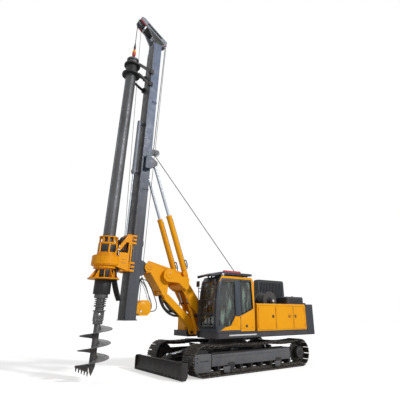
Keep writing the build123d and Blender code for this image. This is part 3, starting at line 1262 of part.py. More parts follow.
# ================================================================ every piece, by node name
def build():
    """Write every piece of the rig."""
    os.makedirs("parts", exist_ok=True)
    save("centre_frame", centre_frame())
    for name, side in (("left", 1), ("right", -1)):
        save(f"track_frame_{name}", track_frame(side))
        save(f"track_{name}", track(side))
    bottom, carriers, idlers, sprockets = rollers()
    save("track_rollers", *bottom, *carriers)
    save("end_wheels", *idlers, *sprockets)
    save("slew_ring", post(0, 0, RING_RADIUS, RING_Z))
    save("blade", blade())
    save("blade_barrel", barrel(BLADE_BASE, BLADE_EYE, BLADE_BARREL, 0, 30))
    save("blade_rod", piston_rod(BLADE_BASE, BLADE_EYE, BLADE_BARREL, 0, 220, 26, 0))
    save("main_frame", main_frame())
    save("counterweight", counterweight())
    left = [(front, rear, at_front) for name, front, rear, side, at_front in DOORS if side > 0]
    right = [(front, rear, at_front) for name, front, rear, side, at_front in DOORS if side < 0]
    save("left_housing", housing((DECK_X[0], -230.0), (LEFT_BAY_Y, DECK_HALF), left, 1))
    save("right_housing", housing((DECK_X[0], -900.0), (-DECK_HALF, RIGHT_BAY_Y), right, -1))
    for name, front, rear, side, at_front in DOORS:
        save(name, housing_door(front - DOORWAY_POST, rear + DOORWAY_POST, side, at_front))
    save("engine_block", block((-2640, -2160), (-500, 560), (DECK_Z[1], 1880)))
    save("engine_hood", engine_hood())
    save("cooler_tower", cooler_tower())
    save("tank_and_locker", tank(), toolbox())
    save("winch_frame", winch_frame())
    save("main_drum", main_drum())
    save("cab_shell", cab_shell())
    save("cab_glass", *cab_glass())
    save("cab_door", cab_door())
    save("door_glass", door_glass())
    save("guards_and_rails", cab_guard(), windscreen_bars(), handrails())
    save("operator_seat", *seat())
    save("light_bar", light_bar())
    save("work_lamps", *work_lamps())
    save("boom", boom())
    save("link", link() + link_hose_ports())
    for name, route in LINK_HOSES.items():
        save(name, hose([(x, LINK_HOSE_Y, z) for x, z in route], HOSE))
    save("triangle", triangle())
    # Each row: name, foot, head, sizes, side offset, foot pin, rod overlap, head pin, stub.
    pairs = (
        ("luff", LUFF_FOOT, LUFF_HEAD, LUFF_BARREL, LUFF_Y, PIN_RADIUS - 5, 220, 36, 4),
        ("mast", CYLINDER_FOOT, CYLINDER_HEAD, MAST_BARREL, CYLINDER_Y, PIN_RADIUS, 245, 44, 16),
    )
    for name, foot, top, sizes, y, foot_pin, inside, head_pin, stub in pairs:
        save(f"{name}_barrels", *[barrel(foot, top, sizes, side * y, foot_pin) for side in (1, -1)])
        rods = [piston_rod(foot, top, sizes, side * y, inside, head_pin, stub) for side in (1, -1)]
        save(f"{name}_rods", *rods)
    save("mast", mast() + mid_bracket())
    save("mast_head", mast_head())
    front, rear = head_sheaves()
    save("front_sheaves", sheave(front, SHEAVE_RADIUS, (-90.0, 0.0, 90.0)))
    save("rear_sheaves", sheave(rear, SHEAVE_RADIUS, (-90.0, 0.0, 90.0)))
    save("mid_sheave", sheave(MID_SHEAVE, 110, (0.0,)))
    save("aux_winch", aux_winch())
    for name, side in (("left", 1), ("right", -1)):
        y = side * (AUX_HALF - 22.5)
        save(f"winch_hose_{name}", hose([(x, y, z) for x, z in WINCH_HOSE], WINCH_HOSE_SIZE))
    save("aux_drum", aux_drum())
    save("press_barrel", press_barrel())
    save("press_rod", post(PRESS_X, 0, PRESS_ROD, (3950, PRESS_Z[0] + 100)))
    save("drive_carriage", drive_carriage())
    save("drive_gearbox", drive_gearbox())
    save("drive_motors", *drive_motors())
    save("kelly_guide", kelly_guide())
    save("kelly_bar", kelly_bar())
    save("auger", auger())


build()
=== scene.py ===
"""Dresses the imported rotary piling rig: finishes, tracks, ropes, bolts, small fittings, light and camera."""

from __future__ import annotations

import logging
import math
from dataclasses import dataclass
from enum import Enum
from functools import cache
from typing import Iterable, Sequence

import bmesh
import bpy
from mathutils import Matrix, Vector

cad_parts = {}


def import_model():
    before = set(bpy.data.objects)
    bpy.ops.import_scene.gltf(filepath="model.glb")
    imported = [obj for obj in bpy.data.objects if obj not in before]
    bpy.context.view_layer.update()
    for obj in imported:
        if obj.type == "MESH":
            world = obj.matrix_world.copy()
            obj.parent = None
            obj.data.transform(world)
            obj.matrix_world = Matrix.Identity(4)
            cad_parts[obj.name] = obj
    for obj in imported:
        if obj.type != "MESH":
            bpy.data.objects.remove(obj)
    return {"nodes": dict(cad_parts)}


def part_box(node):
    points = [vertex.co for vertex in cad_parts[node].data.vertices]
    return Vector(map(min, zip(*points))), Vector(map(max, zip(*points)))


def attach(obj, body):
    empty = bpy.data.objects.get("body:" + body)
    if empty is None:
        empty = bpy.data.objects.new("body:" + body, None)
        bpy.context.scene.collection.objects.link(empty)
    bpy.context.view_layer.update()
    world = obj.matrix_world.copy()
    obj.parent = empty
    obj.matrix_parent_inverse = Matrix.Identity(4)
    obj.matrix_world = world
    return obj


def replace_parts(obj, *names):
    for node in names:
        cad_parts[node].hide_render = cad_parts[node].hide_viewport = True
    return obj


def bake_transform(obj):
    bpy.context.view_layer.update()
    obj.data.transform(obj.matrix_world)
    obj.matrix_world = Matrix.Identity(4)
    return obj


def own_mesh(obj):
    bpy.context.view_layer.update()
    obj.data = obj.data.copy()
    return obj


LOG = logging.getLogger("piling_rig")

Pair = tuple[float, float]
Point = Sequence[float]
Triple = tuple[float, float, float]
Item = bpy.types.Object
Socket = bpy.types.NodeSocket

SIDES = ((1, "left", "+y"), (-1, "right", "-y"))
TURNS: dict[str, Triple] = {
    "+z": (0.0, 0.0, 0.0), "+x": (0.0, math.pi / 2, 0.0), "-x": (0.0, -math.pi / 2, 0.0),
    "+y": (-math.pi / 2, 0.0, 0.0), "-y": (math.pi / 2, 0.0, 0.0),
}


class Body(str, Enum):
    """CAD bodies that the pieces ride on."""

    UNDERCARRIAGE = "undercarriage"
    UPPER = "upper"
    BLADE = "blade"
    BOOM = "boom"
    LINK = "link"
    TRIANGLE = "triangle"
    LUFF_BARRELS = "luff_barrels"
    MAST_BARRELS = "mast_barrels"
    MAST = "mast"
    DRIVE = "drive"
    KELLY_GUIDE = "kelly_guide"
    KELLY = "kelly"
    MAIN_DRUM = "main_drum"
    AUX_DRUM = "aux_drum"
    CAB_DOOR = "cab_door"
    HOOD = "engine_hood"
    LEFT_DOOR_FRONT = "side_door_front"
    LEFT_DOOR_MIDDLE = "side_door_middle"
    LEFT_DOOR_REAR = "side_door_rear"
    RIGHT_DOOR_FRONT = "right_door_front"
    RIGHT_DOOR_REAR = "right_door_rear"


# ---------------------------------------------------------------- finishes
def sRGB(*channels: int) -> Triple:
    """Linear colour from 8-bit values."""
    shares = [value / 255 for value in channels]
    return tuple(s / 12.92 if s <= 0.04045 else ((s + 0.055) / 1.055) ** 2.4 for s in shares)


class Wiring:
    """Short way to add nodes to a tree and join them."""

    def __init__(self, tree: bpy.types.NodeTree) -> None:
        """Keeps the tree that the nodes go into."""
        self.tree = tree

    @classmethod
    def group(cls, name: str, kind: str, inputs: dict[str, str], outputs: dict[str, str]) -> "Wiring":
        """Starts a node group.

        Args:
            name: Name of the group.
            kind: ShaderNodeTree or GeometryNodeTree.
            inputs: Kind of socket, without its NodeSocket prefix, to the names of such inputs.
            outputs: The same for the outputs.

        Returns:
            The wiring of the new group.
        """
        tree = bpy.data.node_groups.new(name, kind)
        for direction, sockets in (("INPUT", inputs), ("OUTPUT", outputs)):
            for socket, labels in sockets.items():
                for label in labels.split(", "):
                    tree.interface.new_socket(label, in_out=direction, socket_type="NodeSocket" + socket)
        return cls(tree)

    def feed(self, node: bpy.types.Node, inputs: dict) -> None:
        """Sets or links a node's inputs, by name or index."""
        for key, value in inputs.items():
            socket = node.inputs[key]
            if isinstance(value, Socket):
                self.tree.links.new(value, socket)
            else:
                socket.default_value = (*value, 1.0) if socket.type == "RGBA" else value

    def add(self, kind: str, inputs: dict | None = None, **settings: object) -> bpy.types.Node:
        """Adds one node.

        Args:
            kind: Type of the node.
            inputs: Input name or index, to a value or to a socket that feeds it.
            **settings: Attributes of the node.

        Returns:
            The new node.
        """
        node = self.tree.nodes.new(kind)
        for key, value in settings.items():
            setattr(node, key, value)
        self.feed(node, inputs or {})
        return node

    def math(self, operation: str, first: object, second: object = 0.0, clamp: bool = False) -> Socket:
        """Result of one Math node."""
        node = self.add("ShaderNodeMath", {0: first, 1: second}, operation=operation, use_clamp=clamp)
        return node.outputs[0]

    def ramp(self, value: object, low: float, high: float, start: object = 0.0, end: object = 1.0) -> Socket:
        """Value mapped from low..high to start..end, clamped."""
        names = {"Value": value, "From Min": low, "From Max": high, "To Min": start, "To Max": end}
        return self.add("ShaderNodeMapRange", names).outputs[0]

    def mix(self, share: object, first: object, second: object) -> Socket:
        """Mix of two colours."""
        return self.add("ShaderNodeMix", {0: share, 6: first, 7: second}, data_type="RGBA").outputs[2]

    def place(self) -> Socket:
        """Object coordinates."""
        return self.add("ShaderNodeTexCoord").outputs["Object"]

    def noise(self, place: Socket, scale: object, detail: float = 3.0) -> Socket:
        """Noise value at a place."""
        node = self.add("ShaderNodeTexNoise", {"Vector": place, "Scale": scale, "Detail": detail})
        return node.outputs["Fac"]

    def streaks(self, place: Socket, scale: Triple, size: float, detail: float) -> Socket:
        """Noise that is drawn out along an axis."""
        drawn = self.add("ShaderNodeMapping", {"Vector": place, "Scale": scale}).outputs[0]
        return self.noise(drawn, size, detail)


@cache
def weathering() -> bpy.types.NodeTree:
    """Node group for painted or plain metal: colour change, dust, dirt streaks and bare edges."""
    w = Wiring.group("weathering", "ShaderNodeTree", {
        "Color": "Base, Shade, Dust, Bare",
        "Float": "Dust Amount, Edge Wear, Streaks, Grain, Rough Low, Rough High",
    }, {"Color": "Color", "Float": "Roughness, Height"})
    given = w.add("NodeGroupInput").outputs
    place = w.place()
    broad, patch = w.noise(place, 0.9, 4.0), w.noise(place, given["Grain"], 5.0)
    fine = w.noise(place, 90.0, 2.0)
    streak = w.ramp(w.streaks(place, (14.0, 14.0, 0.7), 1.0, 3.0), 0.52, 0.78)
    colour = w.mix(w.ramp(broad, 0.3, 0.7), given["Base"], given["Shade"])
    colour = w.mix(w.math("MULTIPLY", streak, given["Streaks"]), colour, given["Dust"])
    height = w.add("ShaderNodeSeparateXYZ", {0: place}).outputs[2]
    dust = w.math("MULTIPLY", w.ramp(patch, 0.38, 0.74), w.ramp(height, 0.05, 1.6, 1.0, 0.25))
    dust = w.math("MULTIPLY", dust, given["Dust Amount"])
    colour = w.mix(dust, colour, given["Dust"])
    round_normal = w.add("ShaderNodeBevel", {"Radius": 0.012}, samples=4).outputs[0]
    flat_normal = w.add("ShaderNodeNewGeometry").outputs["Normal"]
    facing = w.add("ShaderNodeVectorMath", {0: round_normal, 1: flat_normal}, operation="DOT_PRODUCT")
    edge = w.ramp(facing.outputs["Value"], 0.995, 0.90)
    bare = w.math("MULTIPLY", edge, w.ramp(w.noise(place, 22.0, 4.0), 0.42, 0.66))
    bare = w.math("MULTIPLY", bare, given["Edge Wear"], clamp=True)
    rough = w.ramp(patch, 0.3, 0.7, given["Rough Low"], given["Rough High"])
    w.add("NodeGroupOutput", {
        "Color": w.mix(bare, colour, given["Bare"]),
        "Roughness": w.math("ADD", rough, w.math("MULTIPLY", dust, 0.35), clamp=True),
        "Height": w.math("ADD", w.math("MULTIPLY", fine, 0.3), patch),
    })
    return w.tree


@cache
def soft_edges() -> bpy.types.NodeTree:
    """Node group with a normal that rounds the sharp edges of a solid and adds a fine relief."""
    w = Wiring.group("soft_edges", "ShaderNodeTree", {"Float": "Height, Depth"}, {"Vector": "Normal"})
    given = w.add("NodeGroupInput").outputs
    rounded = w.add("ShaderNodeBevel", {"Radius": 0.006}, samples=4).outputs[0]
    bump = w.add("ShaderNodeBump", {
        "Strength": 0.25, "Distance": given["Depth"], "Height": given["Height"], "Normal": rounded,
    })
    w.add("NodeGroupOutput", {"Normal": bump.outputs[0]})
    return w.tree


@dataclass(frozen=True)
class Surface:
    """A material and the slot of the record that it belongs to."""

    name: str
    slot: str

    def material(self) -> bpy.types.Material:
        """The material, built at its first use."""
        made = bpy.data.materials.get(self.name)
        if made is None:
            made = bpy.data.materials.new(self.name)
            made.use_nodes = True
            made.node_tree.nodes.clear()
            w = Wiring(made.node_tree)
            shader = w.add("ShaderNodeBsdfPrincipled")
            w.add("ShaderNodeOutputMaterial", {"Surface": shader.outputs[0]})
            self.wire(w, shader)
        return made


@dataclass(frozen=True)
class Finish(Surface):
    """A weathered surface: paint, bare steel, cast iron, plastic or rubber."""

    base: Triple
    shade: Triple
    dust: Triple = sRGB(150, 140, 122)
    bare: Triple = sRGB(95, 92, 88)
    dust_amount: float = 0.25
    edge_wear: float = 0.25
    streaks: float = 0.15
    grain: float = 6.0
    rough: Pair = (0.3, 0.5)
    metallic: float = 0.0
    coat: float = 0.0
    relief: float = 0.001
    shine: float = 0.4

    def wire(self, w: Wiring, shader: bpy.types.Node) -> None:
        """Feeds the shader from the shared effects."""
        worn = w.add("ShaderNodeGroup", {
            "Base": self.base, "Shade": self.shade, "Dust": self.dust, "Bare": self.bare,
            "Dust Amount": self.dust_amount, "Edge Wear": self.edge_wear, "Streaks": self.streaks,
            "Grain": self.grain, "Rough Low": self.rough[0], "Rough High": self.rough[1],
        }, node_tree=weathering()).outputs
        depth = {"Height": worn["Height"], "Depth": self.relief}
        soft = w.add("ShaderNodeGroup", depth, node_tree=soft_edges())
        w.feed(shader, {
            "Base Color": worn["Color"], "Roughness": worn["Roughness"], "Normal": soft.outputs["Normal"],
            "Metallic": self.metallic, "Coat Weight": self.coat, "Coat Roughness": 0.12,
            "Specular IOR Level": self.shine,
        })


@dataclass(frozen=True)
class StrandFinish(Finish):
    """Wire rope or braided hose: twisted strands that follow the tube's own UV map."""

    turns: float = 9.0
    strands: float = 6.0

    def wire(self, w: Wiring, shader: bpy.types.Node) -> None:
        """Adds the twist of the strands to the normal, and painted shade in the grooves between them to the
        weathered colour.
        """
        super().wire(w, shader)
        worn = shader.inputs["Base Color"].links[0].from_socket
        across = w.add("ShaderNodeUVMap", uv_map="UVMap").outputs[0]
        around_it, along_it, _ = w.add("ShaderNodeSeparateXYZ", {0: across}).outputs
        slant = w.math("MULTIPLY", around_it, self.strands)
        slant = w.math("ADD", slant, w.math("MULTIPLY", along_it, self.turns))
        wave = w.math("ABSOLUTE", w.math("SINE", w.math("MULTIPLY", slant, math.pi)))
        bump = w.add("ShaderNodeBump", {"Strength": 0.8, "Distance": 0.003, "Height": wave})
        # painted shade: the grooves between the strands are darkened towards black
        dark = w.mix(w.ramp(wave, 0.0, 0.6, 0.65, 0.0), worn, (0.01, 0.01, 0.01))
        w.feed(shader, {"Base Color": dark, "Normal": bump.outputs[0]})


@dataclass(frozen=True)
class SkyReflectionFinish(Finish):
    """Paint of a tall part with a painted sky reflection: a paler bluish colour is painted into its upper part.
    """

    # painted sky reflection: the bluish colour that is painted into the paint's upper part
    top: Triple = sRGB(84, 98, 124)
    span: Pair = (4.5, 8.5)
    rear: float = 2.80

    def wire(self, w: Wiring, shader: bpy.types.Node) -> None:
        """Feeds the shader from the shared effects, with the sky reflection painted paler towards the top and not
        behind the rear face.
        """
        super().wire(w, shader)
        worn = shader.inputs["Base Color"].links[0].from_socket
        x, _, height = w.add("ShaderNodeSeparateXYZ", {"Vector": w.place()}).outputs
        # share of the painted sky reflection: it grows with height and is none behind the rear face
        pale = w.math("MULTIPLY", w.ramp(height, *self.span), w.math("GREATER_THAN", x, self.rear))
        w.feed(shader, {"Base Color": w.mix(pale, worn, self.top)})


@dataclass(frozen=True)
class GlassFinish(Surface):
    """Tinted pane: dark, glossy and partly see-through, with patches of painted reflection of the surroundings in
    its colour.
    """

    tint: Triple
    alpha: float = 0.62
    # painted reflection: pale green colour that is mixed into the tint in patches
    painted_reflection: Triple = sRGB(140, 168, 152)

    def wire(self, w: Wiring, shader: bpy.types.Node) -> None:
        """Feeds the shader with the tint, the patches of painted reflection and a smeared gloss."""
        place = w.place()
        # where the painted reflection is mixed into the tint
        reflection_share = w.ramp(w.streaks(place, (5.0, 5.0, 1.1), 1.3, 2.5), 0.52, 0.66)
        w.feed(shader, {
            "Base Color": w.mix(w.math("MULTIPLY", reflection_share, 0.75), self.tint, self.painted_reflection), "IOR": 1.5,
            "Roughness": w.ramp(w.noise(place, 5.0, 4.0), 0.4, 0.8, 0.04, 0.14),
            "Alpha": self.alpha, "Coat Weight": 1.0, "Coat Roughness": 0.03,
        })


class Finishes:
    """Every finish of the rig by what it is used for."""

    YELLOW = Finish(
        "amber_enamel", "yellow_paint", sRGB(244, 168, 10), sRGB(238, 158, 6), dust=sRGB(190, 150, 80),
        bare=sRGB(120, 95, 50), dust_amount=0.08, edge_wear=0.22, streaks=0.10, rough=(0.34, 0.46), coat=0.04,
        relief=0.0006, shine=0.15,
    )
    DRIVE_YELLOW = Finish(
        "drive_enamel", "yellow_drive_paint", sRGB(246, 166, 12), sRGB(230, 148, 10), dust=sRGB(130, 95, 44),
        bare=sRGB(90, 80, 66), dust_amount=0.2, edge_wear=0.45, streaks=0.3, rough=(0.36, 0.54), coat=0.04,
        relief=0.001, shine=0.15,
    )
    DARK = Finish(
        "charcoal_enamel", "dark_paint", sRGB(56, 58, 64), sRGB(47, 49, 55), dust=sRGB(96, 92, 86), edge_wear=0.3,
        dust_amount=0.12, rough=(0.38, 0.55), coat=0.05, relief=0.0008, shine=0.3,
    )
    DECK = Finish(
        "deck_enamel", "dark_paint", sRGB(66, 65, 69), sRGB(56, 55, 60), dust=sRGB(112, 104, 94), edge_wear=0.4,
        dust_amount=0.3, streaks=0.25, rough=(0.4, 0.6), relief=0.001, shine=0.3,
    )
    CAB_SLATE = Finish(
        "cab_enamel", "grey_paint", sRGB(66, 74, 84), sRGB(58, 65, 74), dust=sRGB(110, 108, 102), edge_wear=0.2,
        dust_amount=0.12, streaks=0.1, rough=(0.34, 0.5), coat=0.05, relief=0.0006, shine=0.3,
    )
    SLATE = Finish(
        "slate_enamel", "grey_paint", sRGB(142, 147, 158), sRGB(126, 131, 142), edge_wear=0.35, dust_amount=0.15,
        streaks=0.25, rough=(0.36, 0.52), coat=0.05, relief=0.0008, shine=0.3,
    )
    MAST = SkyReflectionFinish(
        "mast_enamel", "grey_paint", sRGB(71, 74, 83), sRGB(60, 63, 71), edge_wear=0.35, dust_amount=0.12,
        streaks=0.3, rough=(0.36, 0.50), coat=0.04, relief=0.0008, shine=0.28,
    )
    # painted shade: dark sheet over the mast's front face, which lies in shade; its dust and worn edges are
    # weathering
    FRONT_SHADE = Finish(
        "painted_front_shade", "dark_paint", sRGB(54, 54, 58), sRGB(44, 44, 48), dust=sRGB(98, 88, 76), edge_wear=0.6,
        dust_amount=0.25, streaks=0.3, rough=(0.4, 0.6), relief=0.001, shine=0.3,
    )
    CRAWLER_GREY = Finish(
        "crawler_enamel", "grey_paint", sRGB(92, 95, 101), sRGB(80, 82, 88), dust=sRGB(128, 118, 102),
        dust_amount=0.3, edge_wear=0.5, streaks=0.2, rough=(0.42, 0.62), relief=0.0012, shine=0.3,
    )
    SOOT = Finish(
        "soot_enamel", "dark_paint", sRGB(40, 40, 42), sRGB(30, 30, 32), dust=sRGB(92, 82, 70), edge_wear=0.6,
        dust_amount=0.3, streaks=0.2, rough=(0.45, 0.65), relief=0.0012, shine=0.3,
    )
    CHARCOAL_PLASTIC = Finish(
        "moulded_black", "dark_paint", sRGB(34, 35, 38), sRGB(28, 29, 31), edge_wear=0.05, dust_amount=0.25,
        rough=(0.45, 0.6), relief=0.0006,
    )
    TRACK = Finish(
        "crawler_steel", "track_steel", sRGB(56, 54, 53), sRGB(38, 37, 37), dust=sRGB(116, 98, 76),
        bare=sRGB(160, 156, 150), dust_amount=0.35, edge_wear=1.0, streaks=0.0, grain=11.0, rough=(0.4, 0.7),
        metallic=0.35, relief=0.003,
    )
    STEEL = Finish(
        "oiled_steel", "worn_steel", sRGB(108, 113, 120), sRGB(84, 88, 94), dust=sRGB(96, 84, 70),
        bare=sRGB(175, 178, 182), dust_amount=0.35, edge_wear=0.7, streaks=0.4, grain=9.0, rough=(0.3, 0.55),
        metallic=0.55, relief=0.0015,
    )
    AUGER = Finish(
        "ground_steel", "worn_steel", sRGB(96, 97, 100), sRGB(66, 66, 68), dust=sRGB(120, 104, 84),
        bare=sRGB(200, 200, 200), dust_amount=0.4, edge_wear=1.0, streaks=0.2, grain=12.0, rough=(0.35, 0.6),
        metallic=0.35, relief=0.002,
    )
    # worn bare steel on the auger's flight tops, painted paler also for the light from above that falls on them
    WORN_AND_TOP_LIT = Finish(
        "scoured_top_lit_steel", "worn_steel", sRGB(176, 178, 184), sRGB(126, 126, 128), dust=sRGB(120, 108, 94),
        bare=sRGB(215, 216, 220), dust_amount=0.5, edge_wear=0.6, streaks=0.6, grain=14.0, rough=(0.3, 0.5),
        metallic=0.3, relief=0.002, shine=0.4,
    )
    CHROME = Finish(
        "hard_chrome", "chrome_rod", sRGB(206, 212, 220), sRGB(190, 197, 206), dust=sRGB(150, 150, 150),
        bare=sRGB(220, 222, 226), dust_amount=0.05, edge_wear=0.0, streaks=0.08, rough=(0.08, 0.2), metallic=0.95,
        relief=0.0002,
    )
    BOLT = Finish(
        "zinc_bolt", "worn_steel", sRGB(120, 122, 126), sRGB(92, 92, 94), edge_wear=0.4, dust_amount=0.4,
        grain=30.0, rough=(0.35, 0.6), metallic=0.6, relief=0.0004,
    )
    RUBBER = Finish(
        "hose_rubber", "dark_paint", sRGB(26, 26, 28), sRGB(36, 35, 34), edge_wear=0.0, dust_amount=0.5,
        rough=(0.5, 0.7), relief=0.0008,
    )
    ROPE = StrandFinish(
        "wire_rope", "worn_steel", sRGB(74, 74, 76), sRGB(56, 55, 54), dust_amount=0.3, edge_wear=0.0,
        rough=(0.4, 0.6), metallic=0.5, relief=0.0004, turns=16.0,
    )
    ROPE_PLAIN = Finish(
        "wound_rope", "worn_steel", sRGB(70, 70, 72), sRGB(52, 51, 50), dust_amount=0.35, edge_wear=0.0,
        grain=40.0, rough=(0.4, 0.6), metallic=0.45, relief=0.0015,
    )
    RED = Finish(
        "signal_red", "red_lens", sRGB(196, 34, 28), sRGB(176, 26, 22), edge_wear=0.25, dust_amount=0.15,
        rough=(0.3, 0.45), coat=0.3, relief=0.0005,
    )
    LENS = Finish(
        "red_dome", "red_lens", sRGB(206, 30, 22), sRGB(184, 18, 14), edge_wear=0.0, dust_amount=0.08,
        streaks=0.0, rough=(0.08, 0.18), coat=0.8, relief=0.0003,
    )
    LAMP = Finish(
        "lamp_lens", "lamp", sRGB(232, 234, 236), sRGB(210, 214, 218), edge_wear=0.0, dust_amount=0.1,
        streaks=0.0, rough=(0.06, 0.16), metallic=0.3, coat=0.8, relief=0.0012,
    )
    SEAT = Finish(
        "seat_cloth", "seat_trim", sRGB(44, 45, 50), sRGB(34, 35, 38), edge_wear=0.0, dust_amount=0.15,
        streaks=0.0, grain=60.0, rough=(0.75, 0.95), relief=0.003,
    )
    GLASS = GlassFinish("cab_pane", "tinted_glass", sRGB(22, 32, 30))


# ---------------------------------------------------------------- mesh tools
class Place:
    """Turns lengths from the slewing axis, in metres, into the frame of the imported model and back."""

    slew_x: float = 0.0

    @classmethod
    def find(cls) -> None:
        """Reads the slewing axis from the slewing ring."""
        low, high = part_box("slew_ring")
        cls.slew_x = (low.x + high.x) / 2

    @classmethod
    def at(cls, x: float, y: float, z: float) -> Vector:
        """A point given from the slewing axis."""
        return Vector((x + cls.slew_x, y, z))

    @classmethod
    def box(cls, node: str) -> tuple[Pair, Pair, Pair]:
        """The x, y and z range of a CAD node, from the slewing axis."""
        low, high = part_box(node)
        return (low.x - cls.slew_x, high.x - cls.slew_x), (low.y, high.y), (low.z, high.z)


def around(middle: float, half: float) -> Pair:
    """The two ends of a stretch from its middle."""
    return middle - half, middle + half


def sided(side: int, low: float, high: float, face: float = 0.0) -> Pair:
    """The y range of a layer on one side, with its distances measured outwards from a face."""
    return tuple(sorted((side * (face + low), side * (face + high))))


def into(name: str, data: bpy.types.ID) -> Item:
    """New object at the origin that shows a mesh or curve."""
    item = bpy.data.objects.new(name, data)
    bpy.context.scene.collection.objects.link(item)
    return item


def plain_mesh(item: Item) -> bpy.types.Mesh:
    """An object's evaluated shape as a plain mesh."""
    graph = bpy.context.evaluated_depsgraph_get()
    shown = item.evaluated_get(graph)
    return bpy.data.meshes.new_from_object(shown, preserve_all_data_layers=True, depsgraph=graph)


def handed_over(item: Item, body: Body | None, finish: Surface, sharp: float = 180.0) -> Item:
    """Gives a piece its shading, finish and body, and logs it.

    Args:
        item: The finished piece, at the origin.
        body: The CAD body that it rides on, or None to leave it on no body.
        finish: The finish of all its faces.
        sharp: Edges that turn by more degrees than this stay sharp.

    Returns:
        The same piece.
    """
    item.data.shade_smooth()
    if sharp < 180.0:
        item.data.set_sharp_from_angle(angle=math.radians(sharp))
    item.data.materials.clear()
    item.data.materials.append(finish.material())
    if body is not None:
        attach(item, body.value)
    return item


class Shape:
    """Collects faces into one mesh."""

    def __init__(self, name: str) -> None:
        """Starts an empty mesh."""
        self.name, self.mesh = name, bmesh.new()

    def add(self, points: Sequence[Point], faces: Iterable[Sequence[int]]) -> None:
        """Adds points and the faces between them."""
        made = [self.mesh.verts.new(point) for point in points]
        for face in faces:
            self.mesh.faces.new([made[i] for i in face])

    def skin(self, rows: Sequence[Sequence[Point]], ring: bool = False) -> None:
        """Adds a solid through rows of points; its ends are flat, or meet where the rows form a ring."""
        count, size = len(rows[0]), len(rows)
        faces = [] if ring else [tuple(range(count))[::-1], tuple(range((size - 1) * count, size * count))]
        for row in range(size if ring else size - 1):
            a, b = row * count, (row + 1) % size * count
            faces += [(a + i, a + (i + 1) % count, b + (i + 1) % count, b + i) for i in range(count)]
        self.add([point for row in rows for point in row], faces)

    def shown(self, normals: bool = True) -> Item:
        """New object that shows the mesh, which is used up, with its normals outwards."""
        if normals:
            bmesh.ops.recalc_face_normals(self.mesh, faces=self.mesh.faces)
        data = bpy.data.meshes.new(self.name)
        self.mesh.to_mesh(data)
        self.mesh.free()
        return into(self.name, data)


